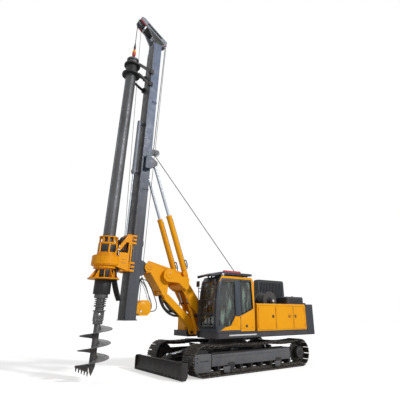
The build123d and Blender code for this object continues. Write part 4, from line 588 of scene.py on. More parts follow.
class Piece(Shape):
    """Simple solids in one mesh, bevelled and put on a body; points are given from the slewing axis."""

    def __init__(self, name: str, body: Body, finish: Surface, bevel: float = 0.002) -> None:
        """Starts an empty piece."""
        super().__init__(name)
        self.body, self.finish, self.bevel = body, finish, bevel

    def loft(self, rows: Sequence[Sequence[Point]]) -> "Piece":
        """Solid through rows of points, with flat ends."""
        self.skin([[Place.at(*point) for point in row] for row in rows])
        return self

    def prism(self, outline: Sequence[Pair], along: str, low: float, high: float) -> "Piece":
        """Flat outline with a thickness.

        Args:
            outline: Corners in the plane across `along`: (y, z), (x, z) or (x, y).
            along: Axis of the thickness: x, y or z.
            low: Start of the thickness.
            high: End of the thickness.

        Returns:
            This piece, so that calls can follow each other.
        """
        spot = "xyz".index(along)
        return self.loft([[(*at[:spot], level, *at[spot:]) for at in outline] for level in (low, high)])

    def plates(self, outline: Sequence[Pair], low: float, high: float) -> "Piece":
        """The same (x, z) outline on both sides, between two distances from the middle plane."""
        for side in (1, -1):
            self.prism(outline, "y", *sided(side, low, high))
        return self

    def box(self, x: Pair, y: Pair, z: Pair) -> "Piece":
        """Upright block from (low, high) pairs."""
        return self.prism(((x[0], y[0]), (x[1], y[0]), (x[1], y[1]), (x[0], y[1])), "z", *z)

    def boxes(self, x: Pair, y: Pair, z: Pair) -> "Piece":
        """The same block on both sides; y holds its distances from the middle plane."""
        for side in (1, -1):
            self.box(x, sided(side, *y), z)
        return self

    def rod(
        self, start: Point, end: Point, radius: float, sides: int = 14, top: float | None = None,
    ) -> "Piece":
        """Round bar or cone between two points."""
        return self.tube([start, end], radius, sides, top)

    def tube(self, path: Sequence[Point], radius: float, sides: int = 10, top: float | None = None) -> "Piece":
        """Closed tube along a path; `top` is its radius at the end, where that differs."""
        points = [Place.at(*point) for point in path]
        last, side, rows = len(points) - 1, None, []
        for index, point in enumerate(points):
            forward = (points[min(index + 1, last)] - points[max(index - 1, 0)]).normalized()
            if side is None:
                guide = Vector((0, 0, 1)) if abs(forward.z) < 0.9 else Vector((1, 0, 0))
                side = forward.cross(guide).normalized()
            side = (side - forward * side.dot(forward)).normalized()
            other = forward.cross(side)
            size = radius if top is None else radius + (top - radius) * index / last
            turns = [math.tau * step / sides for step in range(sides)]
            rows.append([point + (side * math.cos(turn) + other * math.sin(turn)) * size for turn in turns])
        self.skin(rows)
        return self

    def lathe(self, centre: Point, axis: str, profile: Sequence[Pair], sides: int = 24) -> "Piece":
        """Closed solid of revolution.

        Args:
            centre: Point on the axis.
            axis: Direction of the axis, such as +y.
            profile: (distance along the axis, radius) from one end to the other; ends at radius 0 close it.
            sides: Facets round the axis.

        Returns:
            This piece.
        """
        first, sign = "xyz".index(axis[1]), -1 if axis[0] == "-" else 1
        rings, points = [], []
        for reach, radius in profile:
            rings.append(list(range(len(points), len(points) + (sides if radius > 0 else 1))))
            for step in range(len(rings[-1])):
                turn = math.tau * step / sides
                shifts = (sign * reach, radius * math.cos(turn), radius * math.sin(turn))
                points.append(Place.at(*(centre[i] + shifts[(i - first) % 3] for i in range(3))))
        faces = []
        for low, high in zip(rings, rings[1:]):
            for step in range(sides):
                corners = [ring[turn % len(ring)] for ring, turn in (
                    (low, step), (low, (step + 1) % sides), (high, (step + 1) % sides), (high, step))]
                faces.append(list(dict.fromkeys(corners)))
        self.add(points, [face for face in faces if len(face) > 2])
        return self

    def band(
        self, centre: Point, low: float, high: float, inner: float, outer: float, sides: int = 48,
    ) -> "Piece":
        """Upright ring with a square section, its heights measured from the centre."""
        section = [(low, inner), (low, outer), (high, outer), (high, inner), (low, inner)]
        return self.lathe(centre, "+z", section, sides)

    def helix(self, x: float, reach: Pair, span: Pair, pitch: float, start: float, thick: float) -> "Piece":
        """Screw flight round an upright line at x.

        Args:
            x: Place of the line.
            reach: Inner and outer radius.
            span: Heights of its two ends.
            pitch: Rise in one turn.
            start: Angle of its lower end, in degrees from +X.
            thick: Thickness of the flight.

        Returns:
            This piece.
        """
        steps_per_turn = 30
        rows = max(2, round((span[1] - span[0]) / pitch * steps_per_turn))
        points, faces = [], []
        for row in range(rows + 1):
            z = span[0] + (span[1] - span[0]) * row / rows
            turn = math.radians(start + 360 * (z - span[0]) / pitch)
            points += [Place.at(x + radius * math.cos(turn), radius * math.sin(turn), z + lift)
                       for radius in reach for lift in (-thick / 2, thick / 2)]
        for a in range(0, 4 * rows, 4):
            b = a + 4
            faces += [(a + 1, a + 3, b + 3, b + 1), (a, b, b + 2, a + 2)]
            faces += [(a + 2, b + 2, b + 3, a + 3), (a, a + 1, b + 1, b)]
        last = 4 * rows
        self.add(points, [*faces, (0, 2, 3, 1), (last, last + 1, last + 3, last + 2)])
        return self

    def done(self) -> Item:
        """Cleans and bevels the mesh and hands the finished piece over."""
        item = self.shown()
        if self.bevel:
            edge = item.modifiers.new("edges", "BEVEL")
            edge.width, edge.segments = self.bevel, 2
            edge.limit_method, edge.angle_limit = "ANGLE", math.radians(40)
            mesh = plain_mesh(item)
            item.modifiers.clear()
            item.data = mesh
        return handed_over(item, self.body, self.finish, 38.0)


# ---------------------------------------------------------------- repeats made by Geometry Nodes
class Layout(str, Enum):
    """Ways in which a small solid is repeated."""

    RING = "ring"
    ROW = "row"
    SPOTS = "spots"


@cache
def repeat_tree(layout: Layout) -> bpy.types.NodeTree:
    """Geometry Nodes tree that puts a solid on points and makes the result plain geometry.

    Args:
        layout: How the points lie.

    Returns:
        The finished tree, with named inputs for its sizes.
    """
    w = Wiring.group(f"repeat_{layout.value}", "GeometryNodeTree", {
        "Geometry": "Geometry", "Object": "Solid", "Material": "Finish", "Int": "Count",
        "Float": "Radius, Phase", "Vector": "Step, Place, Turn",
    }, {"Geometry": "Geometry"})
    given = w.add("NodeGroupInput").outputs
    points, turn = given["Geometry"], given["Turn"]
    if layout is Layout.RING:
        circle = w.add("GeometryNodeMeshCircle", {"Vertices": given["Count"], "Radius": given["Radius"]})
        spun = w.add("ShaderNodeCombineXYZ", {"Z": given["Phase"]}).outputs[0]
        moves = {"Geometry": circle.outputs[0], "Rotation": spun}
        points = w.add("GeometryNodeTransform", moves).outputs[0]
        moves = {"Geometry": points, "Translation": given["Place"], "Rotation": turn}
        points = w.add("GeometryNodeTransform", moves).outputs[0]
    elif layout is Layout.ROW:
        line = w.add("GeometryNodeMeshLine", {"Count": given["Count"], "Offset": given["Step"]}, mode="OFFSET")
        moves = {"Geometry": line.outputs[0], "Translation": given["Place"]}
        points = w.add("GeometryNodeTransform", moves).outputs[0]
    else:
        turn = w.add("GeometryNodeInputNamedAttribute", {"Name": "turn"}, data_type="FLOAT_VECTOR").outputs[0]
    solid = w.add("GeometryNodeObjectInfo", {"Object": given["Solid"]}).outputs["Geometry"]
    put = w.add("GeometryNodeInstanceOnPoints", {"Points": points, "Instance": solid, "Rotation": turn})
    plain = w.add("GeometryNodeRealizeInstances", {"Geometry": put.outputs[0]}).outputs[0]
    plain = w.add("GeometryNodeSetMaterial", {"Geometry": plain, "Material": given["Finish"]}).outputs[0]
    w.add("NodeGroupOutput", {"Geometry": plain})
    return w.tree


class Repeats(Shape):
    """One piece made of small solids that Geometry Nodes repeat; each solid points along +Z."""

    def __init__(self, name: str, body: Body, finish: Surface) -> None:
        """Starts an empty piece."""
        super().__init__(name)
        self.body, self.finish = body, finish

    def _run(self, layout: Layout, base: bpy.types.Mesh, values: dict[str, object]) -> "Repeats":
        """Evaluates one tree and keeps its plain mesh."""
        holder = into(self.name + "_holder", base)
        tree = repeat_tree(layout)
        modifier = holder.modifiers.new("repeat", "NODES")
        modifier.node_group = tree
        values["Finish"] = self.finish.material()
        for socket in tree.interface.items_tree:
            if socket.in_out == "INPUT" and socket.name in values:
                modifier[socket.identifier] = values[socket.name]
        self.mesh.from_mesh(plain_mesh(holder))
        bpy.data.objects.remove(holder)
        return self

    def ring(self, solid: Item, centre: Point, axis: str, radius: float, count: int,
             phase: float = 0.0) -> "Repeats":
        """Solids on a circle.

        Args:
            solid: What is repeated.
            centre: Middle of the circle, from the slewing axis.
            axis: Direction that the solids point in, such as +y.
            radius: Radius of the circle.
            count: Number of solids.
            phase: Turn of the first one, in radians.

        Returns:
            This piece.
        """
        return self._run(Layout.RING, bpy.data.meshes.new("ring"), {
            "Solid": solid, "Count": count, "Radius": radius, "Phase": phase, "Place": tuple(Place.at(*centre)),
            "Turn": TURNS[axis],
        })

    def row(self, solid: Item, start: Point, end: Point, count: int, axis: str = "+z") -> "Repeats":
        """Evenly spaced solids from one point to another.

        Args:
            solid: What is repeated.
            start: First place, from the slewing axis.
            end: Last place.
            count: Number of solids.
            axis: Direction that the solids point in.

        Returns:
            This piece.
        """
        step = tuple((b - a) / max(count - 1, 1) for a, b in zip(start, end))
        return self._run(Layout.ROW, bpy.data.meshes.new("row"), {
            "Solid": solid, "Count": count, "Step": step, "Place": tuple(Place.at(*start)),
            "Turn": TURNS[axis],
        })

    def spots(self, solid: Item, places: Sequence[tuple[Point, Point]]) -> "Repeats":
        """Solids at given places.

        Args:
            solid: What is repeated.
            places: Point from the slewing axis and Euler turn of each one.

        Returns:
            This piece.
        """
        base = bpy.data.meshes.new("spots")
        base.from_pydata([Place.at(*point) for point, turn in places], [], [])
        turns = base.attributes.new("turn", "FLOAT_VECTOR", "POINT")
        for spot, (point, turn) in zip(turns.data, places):
            spot.vector = turn
        return self._run(Layout.SPOTS, base, {"Solid": solid})

    def single(self, solid: Item, places: Iterable[Point], axis: str) -> "Repeats":
        """One solid at each place, all pointing the same way."""
        for place in places:
            self.row(solid, place, place, 1, axis)
        return self

    def done(self, sharp: float = 35.0) -> Item:
        """Hands the finished piece over."""
        item = self.shown(normals=False)
        if "turn" in item.data.attributes:
            item.data.attributes.remove(item.data.attributes["turn"])
        return handed_over(item, self.body, self.finish, sharp)


PATTERNS: list[Item] = []


def pattern(name: str, *skins: Sequence[Sequence[Point]], ring: bool = False) -> Item:
    """Small solid for the repeats, made of skins; it is removed before the end."""
    shape = Shape(name)
    for rows in skins:
        shape.skin(rows, ring)
    PATTERNS.append(shape.shown())
    return PATTERNS[-1]


def head(name: str, size: float, rings: Sequence[Pair], sides: int) -> Item:
    """Head of a bolt or rivet: (height, radius) of its rings, as shares of its size."""
    turns = [math.tau * (i + 0.5) / sides for i in range(sides)]
    rows = []
    for height, radius in rings:
        reach = size * radius
        rows.append([(reach * math.cos(t), reach * math.sin(t), size * height) for t in turns])
    return pattern(name, rows)


@cache
def bolt(size: float) -> Item:
    """Hexagon bolt head whose corners lie `size` from its middle."""
    return head("bolt", size, ((-0.1, 1.0), (0.55, 1.0), (0.72, 0.8)), 6)


@cache
def rivet(size: float) -> Item:
    """Low round head."""
    return head("rivet", size, ((-0.1, 1.0), (0.25, 1.0), (0.5, 0.6)), 8)


def blocks(name: str, rows: Sequence[tuple[Pair, Pair, Pair]], chamfer: float) -> Item:
    """Upright blocks as one solid, their upper edges drawn in along x by the chamfer."""
    skins = []
    for x, y, z in rows:
        levels = ((z[0], 0.0), (z[1] - chamfer, 0.0), (z[1], chamfer))
        skins.append([[(x[0] + inset, y[0], level), (x[1] - inset, y[0], level), (x[1] - inset, y[1], level),
                       (x[0] + inset, y[1], level)] for level, inset in levels])
    return pattern(name, *skins)


def torus(name: str, radius: float, wire: float, sides: int, facets: int) -> Item:
    """Ring of round wire about +Z."""
    rows = []
    for turn in (math.tau * i / sides for i in range(sides)):
        leans = [math.tau * j / facets for j in range(facets)]
        section = [(radius + wire * math.cos(lean), wire * math.sin(lean)) for lean in leans]
        rows.append([(reach * math.cos(turn), reach * math.sin(turn), z) for reach, z in section])
    return pattern(name, rows, ring=True)


# ---------------------------------------------------------------- ropes, pipes and hoses
def curve_along(name: str, path: Sequence[Point], kind: str, radius: float, detail: int) -> Item:
    """Round curve of one open spline.

    Args:
        name: Name of the new object.
        path: Points from the slewing axis.
        kind: POLY or NURBS.
        radius: Half its thickness.
        detail: Bevel resolution.

    Returns:
        The curve object.
    """
    curve = bpy.data.curves.new(name, "CURVE")
    curve.dimensions = "3D"
    curve.bevel_depth, curve.bevel_resolution, curve.use_fill_caps = radius, detail, True
    line = curve.splines.new(kind)
    line.points.add(len(path) - 1)
    for spot, point in zip(line.points, path):
        spot.co = (*Place.at(*point), 1.0)
    if kind == "NURBS":
        line.order_u, line.use_endpoint_u, line.resolution_u = 3, True, 12
    return into(name, curve)


def strand(name: str, body: Body | None, finish: Surface, path: Sequence[Point], radius: float) -> Item:
    """Rope or fixed pipe: a tube along a path, with a UV map that runs round and along it.

    Args:
        name: Name of the piece.
        body: The CAD body that it rides on, or None to leave it on no body.
        finish: Its finish.
        path: Points from the slewing axis.
        radius: Half its thickness.

    Returns:
        The finished object.
    """
    holder = curve_along(name, path, "POLY", radius, 2)
    mesh = plain_mesh(holder)
    bpy.data.objects.remove(holder)
    length = sum((Vector(b) - Vector(a)).length for a, b in zip(path, path[1:]))
    lift = max(length, 0.01) / 0.12
    layer = mesh.uv_layers.get("UVMap") or mesh.uv_layers.new(name="UVMap")
    for spot in layer.data:
        spot.uv = (spot.uv[1], spot.uv[0] * lift)
    return handed_over(into(name, mesh), body, finish, 50.0)


def bent(points: Sequence[Point], radius: float, steps: int = 5) -> list[Vector]:
    """Path with its corners turned into arcs, for pipes that are bent to shape.

    Args:
        points: Corners of the path.
        radius: Radius of each bend, less where a run is short.
        steps: Points in each bend.

    Returns:
        The points of the smooth path.
    """
    corners = [Vector(point) for point in points]
    path = [corners[0]]
    for before, corner, after in zip(corners, corners[1:], corners[2:]):
        back, on = before - corner, after - corner
        reach = min(radius, back.length * 0.45, on.length * 0.45)
        start, end = corner + back.normalized() * reach, corner + on.normalized() * reach
        for share in (step / steps for step in range(steps + 1)):
            path.append(start.lerp(corner, share).lerp(corner.lerp(end, share), share))
    return [*path, corners[-1]]


def flat(route: Sequence[Pair], y: float) -> list[Triple]:
    """An (x, z) route in an upright plane."""
    return [(x, y, z) for x, z in route]


def straight(start: Point, end: Point, steps: int) -> list[Triple]:
    """Evenly spaced points on a straight line."""
    return [tuple(a + (b - a) * i / steps for a, b in zip(start, end)) for i in range(steps + 1)]


# ---------------------------------------------------------------- crawler tracks
@dataclass
class Crawler:
    """One crawler: shoes, links, hubs and the fittings of its frame."""

    side: int
    name: str
    axis: str
    shoe_count: int = 57
    middle: float = 1.125
    shoe_half: float = 0.30
    plate: float = 0.020
    grouser: float = 0.025
    link_height: float = 0.075
    sag: float = 0.034
    carriers: Pair = (0.76, -0.90)
    rollers: tuple[float, float, int] = (1.33, -1.70, 8)
    frame_face: float = 0.165

    def __post_init__(self) -> None:
        """Reads the loop's size from its CAD node."""
        (low, high), _, (bottom, top) = Place.box(f"track_{self.name}")
        self.radius = (top - bottom) / 2
        self.front, self.rear = high - self.radius, low + self.radius

    def loop(self) -> list[tuple[Triple, Triple]]:
        """Place and turn of each shoe: ground run, front arc, top run that sags, rear arc."""
        reach = self.radius - self.grouser - self.plate
        run, arc = self.front - self.rear, math.pi * reach
        supports = [self.front, *self.carriers, self.rear]
        places = []
        for index in range(self.shoe_count):
            upper, way = divmod((index + 0.5) * 2 * (run + arc) / self.shoe_count, run + arc)
            turn = max(way - run, 0.0) / reach + (math.pi / 2 if upper else -math.pi / 2)
            if way >= run:
                x = (self.rear if upper else self.front) + reach * math.cos(turn)
                z = self.radius + reach * math.sin(turn)
            elif upper:
                x = self.front - way
                ahead, behind = next(pair for pair in zip(supports, supports[1:]) if x >= pair[1] - 1e-6)
                share = (x - ahead) / (behind - ahead)
                z = self.radius + reach - 4 * self.sag * share * (1 - share)
            else:
                x, z = self.rear + way, self.radius - reach
            places.append(((x, self.side * self.middle, z), (0.0, math.pi / 2 - turn, 0.0)))
        return places

    def build(self) -> None:
        """Builds every piece of the crawler."""
        self.shoes()
        self.links()
        self.hubs()
        self.frame_fittings()

    def shoes(self) -> None:
        """Triple-bar shoes with their bolts, one solid repeated round the loop."""
        wide, bar_top = around(0.0, self.shoe_half), self.plate + self.grouser - 0.005
        rows = [(around(0.0, 0.0855), wide, (0.0, self.plate * 0.7))]
        rows += [(around(x, 0.010), wide, (0.010, bar_top)) for x in (-0.056, 0.0, 0.056)]
        heads = [(x, y) for x in (-0.028, 0.028) for y in (-0.065, 0.065)]
        rows += [(around(x, 0.011), around(y, 0.011), (0.013, 0.030)) for x, y in heads]
        piece = Repeats(f"shoes_{self.name}", Body.UNDERCARRIAGE, Finishes.TRACK)
        item = piece.spots(blocks("shoe", rows, 0.004), self.loop()).done(30)
        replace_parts(item, f"track_{self.name}")

    def links(self) -> None:
        """Link plates with their pins inside the shoes."""
        rows = []
        for y, shift in ((-0.085, 0.008), (0.045, -0.008)):
            rows.append(((-0.098, 0.060), (y, y + 0.040), (-self.link_height, -0.002)))
            rows.append(((0.050, 0.098), (y + shift, y + shift + 0.040), (-0.066, -0.012)))
        rows.append(((-0.094, -0.060), (-0.100, 0.100), (-0.055, -0.021)))
        piece = Repeats(f"links_{self.name}", Body.UNDERCARRIAGE, Finishes.TRACK)
        piece.spots(blocks("link", rows, 0.006), self.loop()).done(30)

    def hubs(self) -> None:
        """Cover of the final drive, its bolts and those of the rollers and brackets."""
        s, face = self.side, self.side * (self.middle + 0.215)
        cover = Piece(f"drive_cover_{self.name}", Body.UNDERCARRIAGE, Finishes.SOOT)
        cover.lathe((self.rear, face, self.radius), self.axis, (
            (-0.004, 0.0), (-0.004, 0.168), (0.012, 0.168), (0.016, 0.155), (0.016, 0.090), (0.026, 0.082),
            (0.026, 0.0),
        ), 32)
        for turn in (0.4, 2.5, 4.6):
            x, z = self.rear + 0.05 * math.cos(turn), self.radius + 0.05 * math.sin(turn)
            cover.rod((x, face + 0.02 * s, z), (x, face + 0.036 * s, z), 0.013, 6)
        cover.done()
        bolts = Repeats(f"crawler_bolts_{self.name}", Body.UNDERCARRIAGE, Finishes.BOLT)
        bolts.ring(bolt(0.012), (self.rear, face + 0.013 * s, self.radius), self.axis, 0.122, 14)
        face = s * (self.middle + self.frame_face) + 0.016 * s
        first, last, count = self.rollers
        for dx in (-0.026, 0.026):
            bolts.row(bolt(0.011), (first + dx, face, 0.285), (last + dx, face, 0.285), count, self.axis)
        places = [(x + dx, face + 0.024 * s, 0.19) for x in (1.06, -1.08) for dx in (-0.07, 0.07)]
        bolts.single(bolt(0.012), places, self.axis).done()

    def layer(self, low: float, high: float) -> Pair:
        """The y range of a layer on the frame's outer face."""
        return sided(self.side, low, high, self.middle + self.frame_face)

    def frame_fittings(self) -> None:
        """Cover plates and idler guide on the frame's outer side, and the guard on its inner side."""
        plate = Piece(f"frame_plates_{self.name}", Body.UNDERCARRIAGE, Finishes.CRAWLER_GREY, 0.004)
        cover = ((-1.72, 0.262), (1.60, 0.262), (1.60, 0.565), (-1.64, 0.595), (-1.72, 0.56))
        plate.prism(cover, "y", *self.layer(-0.002, 0.016))
        edge = ((-1.60, 0.50), (1.56, 0.48), (1.56, 0.565), (-1.60, 0.59))
        plate.prism(edge, "y", *self.layer(0.012, 0.022))
        guide = ((1.645, 0.135), (2.15, 0.135), (2.205, 0.20), (2.225, 0.57), (2.17, 0.60), (1.645, 0.60))
        plate.prism(guide, "y", *self.layer(0.0, 0.034))
        for x in (1.06, -1.08):
            bracket = ((x - 0.10, 0.08), (x + 0.10, 0.08), (x + 0.14, 0.235), (x - 0.14, 0.235))
            plate.prism(bracket, "y", *self.layer(0.020, 0.040))
        plate.done()
        guard = Piece(f"inner_guard_{self.name}", Body.UNDERCARRIAGE, Finishes.SOOT, 0.0)
        outline = ((-1.95, 0.125), (1.62, 0.125), (1.62, 0.60), (1.30, 0.635), (-1.70, 0.625), (-1.95, 0.55))
        guard.prism(outline, "y", *sided(self.side, -0.182, -0.172, self.middle)).done()
        # painted shade: dark strip and discs that stand for the shade inside the idler guide's slot and two holes
        dark = Piece(f"frame_slots_{self.name}", Body.UNDERCARRIAGE, Finishes.CHARCOAL_PLASTIC)
        dark.box((1.72, 2.04), self.layer(0.033, 0.036), (0.405, 0.432))
        face = self.side * (self.middle + self.frame_face)
        for x, z in ((2.13, 0.505), (2.12, 0.400)):
            profile = ((0.033, 0.0), (0.033, 0.026), (0.037, 0.024), (0.037, 0.0))
            dark.lathe((x, face, z), self.axis, profile, 18)
        dark.done()


@dataclass
class CarBody:
    """Fittings of the centre frame: ring bolts and travel hoses."""

    ring_bolts: int = 40

    def build(self) -> None:
        """Builds the fittings of the centre frame."""
        bolts = Repeats("ring_bolts", Body.UNDERCARRIAGE, Finishes.BOLT)
        bolts.ring(bolt(0.014), (0.0, 0.0, 0.79), "+z", 0.668, self.ring_bolts).done()
        route = ((-0.60, 0.12, 0.62), (-1.10, 0.18, 0.60), (-1.45, 0.60, 0.52), (-1.90, 0.86, 0.46))
        for side, name, _ in SIDES:
            path = bent([(x, side * y, z) for x, y, z in route], 0.16)
            strand(f"travel_hose_{name}", Body.UNDERCARRIAGE, Finishes.RUBBER, path, 0.017)
            lower = [(x, y + side * 0.045, z - 0.02) for x, y, z in path]
            strand(f"travel_return_{name}", Body.UNDERCARRIAGE, Finishes.RUBBER, lower, 0.017)


@dataclass
class Blade:
    """Edge rivets and pins of the front blade."""

    half: float = 1.48

    def build(self) -> None:
        """Builds the row of rivets along the edge and the caps of the pins."""
        x = Place.box("blade")[0][1] - 0.004
        bolts = Repeats("blade_bolts", Body.BLADE, Finishes.BOLT)
        bolts.row(rivet(0.016), (x, -self.half + 0.1, 0.075), (x, self.half - 0.1, 0.075), 14, "+x").done()
        caps = Piece("blade_pins", Body.BLADE, Finishes.STEEL)
        for side, _, axis in SIDES:
            profile = ((0.0, 0.0), (0.0, 0.05), (0.014, 0.046), (0.014, 0.0))
            caps.lathe((1.09, side * 0.515, 0.40), axis, profile, 20)
        caps.done()


# ---------------------------------------------------------------- revolving frame and housings
@dataclass
class Deck:
    """Side panels, counterweight, hood, cooler and winch dressing on the revolving frame."""

    face: float = 1.33
    doors: tuple[tuple[Body, float, float, int, float], ...] = (
        (Body.LEFT_DOOR_FRONT, -0.27, -1.12, 1, -0.99), (Body.LEFT_DOOR_MIDDLE, -1.12, -2.02, 1, -1.80),
        (Body.LEFT_DOOR_REAR, -2.02, -2.65, 1, -2.13), (Body.RIGHT_DOOR_FRONT, -0.95, -1.80, -1, -1.67),
        (Body.RIGHT_DOOR_REAR, -1.80, -2.65, -1, -1.91),
    )
    drum: Triple = (-1.75, 0.19, 2.12)

    def build(self) -> None:
        """Builds every piece on the deck."""
        self.boom_feet()
        self.latches()
        self.counterweight()
        self.skirt()
        self.hood()
        self.cooler()
        self.winch()
        self.right_side()

    def boom_feet(self) -> None:
        """Yellow facings on the plates that carry the boom and link."""
        outline = ((-1.29, 1.157), (1.46, 1.157), (1.46, 1.27), (1.352, 1.66), (1.30, 1.75), (1.20, 1.78),
                   (1.10, 1.75), (1.05, 1.675), (0.50, 1.402), (-1.29, 1.322))
        paint = Piece("boom_foot_paint", Body.UPPER, Finishes.YELLOW)
        paint.plates(outline, 0.3345, 0.340).plates(outline, 0.300, 0.3055).done()

    def latches(self) -> None:
        """Black latch plates and panel lines on the service doors."""
        for door, front, rear, side, x in self.doors:
            rim, inside = sided(side, -0.001, 0.004, self.face), around(x, 0.036)
            plate = Piece(f"{door.value}_latch", door, Finishes.CHARCOAL_PLASTIC)
            for edge in ((x - 0.046, x - 0.036), (x + 0.036, x + 0.046)):
                plate.box(edge, rim, (1.546, 1.634))
            for edge in ((1.546, 1.556), (1.624, 1.634)):
                plate.box(inside, rim, edge)
            plate.box(inside, sided(side, -0.0145, -0.010, self.face), (1.556, 1.624))
            grip = ((x - 0.024, 1.566), (x + 0.024, 1.566), (x + 0.018, 1.606), (x - 0.018, 1.606))
            plate.prism(grip, "y", *sided(side, -0.012, 0.003, self.face)).done()
            seam = Piece(f"{door.value}_seam", door, Finishes.CHARCOAL_PLASTIC, 0.0)
            for line in (rear + 0.020, front - 0.020):
                seam.box(around(line, 0.002), sided(side, -0.002, 0.0008, self.face), (1.20, 1.91))
            seam.done()

    def counterweight(self) -> None:
        """Red reflectors, lifting plugs and the joint line of the counterweight."""
        tail = Place.box("counterweight")[0][0]
        lens = Piece("tail_reflectors", Body.UPPER, Finishes.LENS)
        for z in (1.56, 1.30):
            lens.boxes((tail + 0.03, tail + 0.072), (0.72, 0.80), (z, z + 0.10))
        lens.done()
        plugs = Repeats("tail_plugs", Body.UPPER, Finishes.BOLT)
        plugs.row(rivet(0.05), (tail + 0.90, -0.5, 2.0), (tail + 0.90, 0.5, 2.0), 2).done()
        seam = Piece("tail_joint", Body.UPPER, Finishes.CHARCOAL_PLASTIC, 0.0)
        seam.boxes((-3.10, -2.72), (1.3295, 1.3312), (1.148, 1.154))
        seam.boxes((-2.712, -2.704), (1.3295, 1.3312), (0.98, 1.98)).done()

    def skirt(self) -> None:
        """Edge strips, bright step edge and bolts along the deck's sides."""
        for side, name, axis in SIDES:
            strip = Piece(f"deck_strip_{name}", Body.UPPER, Finishes.DARK)
            upper = ((-2.68, 1.125), (1.40, 1.125), (1.42, 1.145), (-2.68, 1.145))
            strip.prism(upper, "y", *sided(side, -0.004, 0.012, self.face))
            strip.box((-2.68, 1.36), sided(side, -0.004, 0.010, self.face), (0.975, 0.99)).done()
            edge = Piece(f"step_edge_{name}", Body.UPPER, Finishes.LAMP)
            edge.box((-0.16, 0.98), sided(side, 0.0, 0.016, self.face), (1.035, 1.075)).done()
            y = side * self.face
            bolts = Repeats(f"skirt_bolts_{name}", Body.UPPER, Finishes.BOLT)
            bolts.row(bolt(0.010), (-2.55, y, 1.055), (-0.35, y, 1.055), 7, axis).done()

    def hood(self) -> None:
        """Ribs, handle and vents of the engine hood."""
        (x0, x1), (y0, y1), (_, top) = Place.box("engine_hood")
        x = (x0 + x1) / 2
        rib = blocks("hood_rib", [((-0.30, 0.30), (-0.012, 0.012), (-0.004, 0.008))], 0.005)
        ribs = Repeats("hood_ribs", Body.HOOD, Finishes.DARK)
        ribs.row(rib, (x, y0 + 0.22, top), (x, y1 - 0.22, top), 5).done()
        handle = Piece("hood_handle", Body.HOOD, Finishes.CHARCOAL_PLASTIC)
        reach = ((-0.1, -0.002), (-0.1, 0.03), (0.1, 0.03), (0.1, -0.002))
        handle.tube(bent([(x + dx, y1 + dy, 2.12) for dx, dy in reach], 0.02), 0.008)
        knob = ((-0.004, 0.0), (-0.004, 0.05), (0.02, 0.046), (0.026, 0.0))
        handle.lathe((x, y1 - 0.18, top), "+z", knob, 20).done()
        vents = Repeats("hood_vents", Body.HOOD, Finishes.CHARCOAL_PLASTIC)
        slat = blocks("vent_slat", [((-0.14, 0.14), (-0.005, 0.005), (-0.003, 0.009))], 0.002)
        for middle in around(x, 0.2):
            vents.row(slat, (middle, y1, 2.08), (middle, y1, 2.20), 6, "+y")
        vents.done()

    def cooler(self) -> None:
        """Frame and bolts of the cooler tower."""
        (x0, x1), (y0, y1), (z0, z1) = Place.box("cooler_tower")
        frame = Piece("cooler_frame", Body.UPPER, Finishes.DARK, 0.004)
        for y in ((y0 - 0.004, y0 + 0.03), (y1 - 0.03, y1 + 0.004)):
            frame.box((x0 + 0.06, x1 - 0.06), y, (z0 + 0.02, z0 + 0.06))
        frame.box((x1 - 0.10, x1 - 0.04), around(y1, 0.02), (z0 + 0.02, z1 - 0.12)).done()
        lifts, y = Repeats("cooler_bolts", Body.UPPER, Finishes.BOLT), (y0 + y1) / 2
        lifts.row(bolt(0.012), (x0 + 0.20, y, z1), (x1 - 0.20, y, z1), 4).done()

    def winch(self) -> None:
        """Main winch: rope on its drum, hub cover, a white disc of painted highlight on the hub, bolts and a
        hose.
        """
        x, y, z = self.drum
        rope = Repeats("main_rope_wraps", Body.MAIN_DRUM, Finishes.ROPE_PLAIN)
        wrap = torus("wrap_main", 0.244, 0.0145, 32, 6)
        rope.row(wrap, (x, y - 0.222, z), (x, y + 0.222, z), 17, "+y").done()
        Piece("winch_hub", Body.UPPER, Finishes.DARK).lathe((x, 0.54, z), "+y", (
            (0.0, 0.0), (0.0, 0.105), (0.03, 0.10), (0.05, 0.07), (0.075, 0.066), (0.075, 0.0),
        )).done()
        # painted highlight: white glossy disc where light glints on the end of the winch motor
        Piece("winch_hub_plate", Body.UPPER, Finishes.LAMP).lathe((x, 0.615, z), "+y", (
            (-0.002, 0.0), (-0.002, 0.05), (0.006, 0.046), (0.006, 0.0),
        ), 20).done()
        bolts = Repeats("winch_bolts", Body.UPPER, Finishes.BOLT)
        bolts.ring(bolt(0.011), (x, 0.541, z), "+y", 0.088, 10).done()
        path = bent(((-1.66, 0.60, 2.06), (-1.45, 0.66, 1.98), (-1.42, 0.60, 1.70), (-1.42, 0.45, 1.18)), 0.12)
        strand("winch_hose", Body.UPPER, Finishes.RUBBER, path, 0.014)

    def right_side(self) -> None:
        """Fuel cap and tread studs on the tank."""
        (x0, _), (y0, y1), (_, top) = Place.box("tank_and_locker")
        middle = (y0 + y1) / 2
        Piece("fuel_cap", Body.UPPER, Finishes.CHARCOAL_PLASTIC).lathe((x0 + 0.35, middle, top), "+z", (
            (-0.01, 0.0), (-0.01, 0.075), (0.03, 0.075), (0.045, 0.06), (0.045, 0.0),
        ), 20).done()
        tread = Repeats("tank_tread", Body.UPPER, Finishes.STEEL)
        for y in (y0 + 0.15, middle, y1 - 0.15):
            tread.row(rivet(0.016), (x0 + 0.60, y, top), (x0 + 1.10, y, top), 8)
        tread.done()


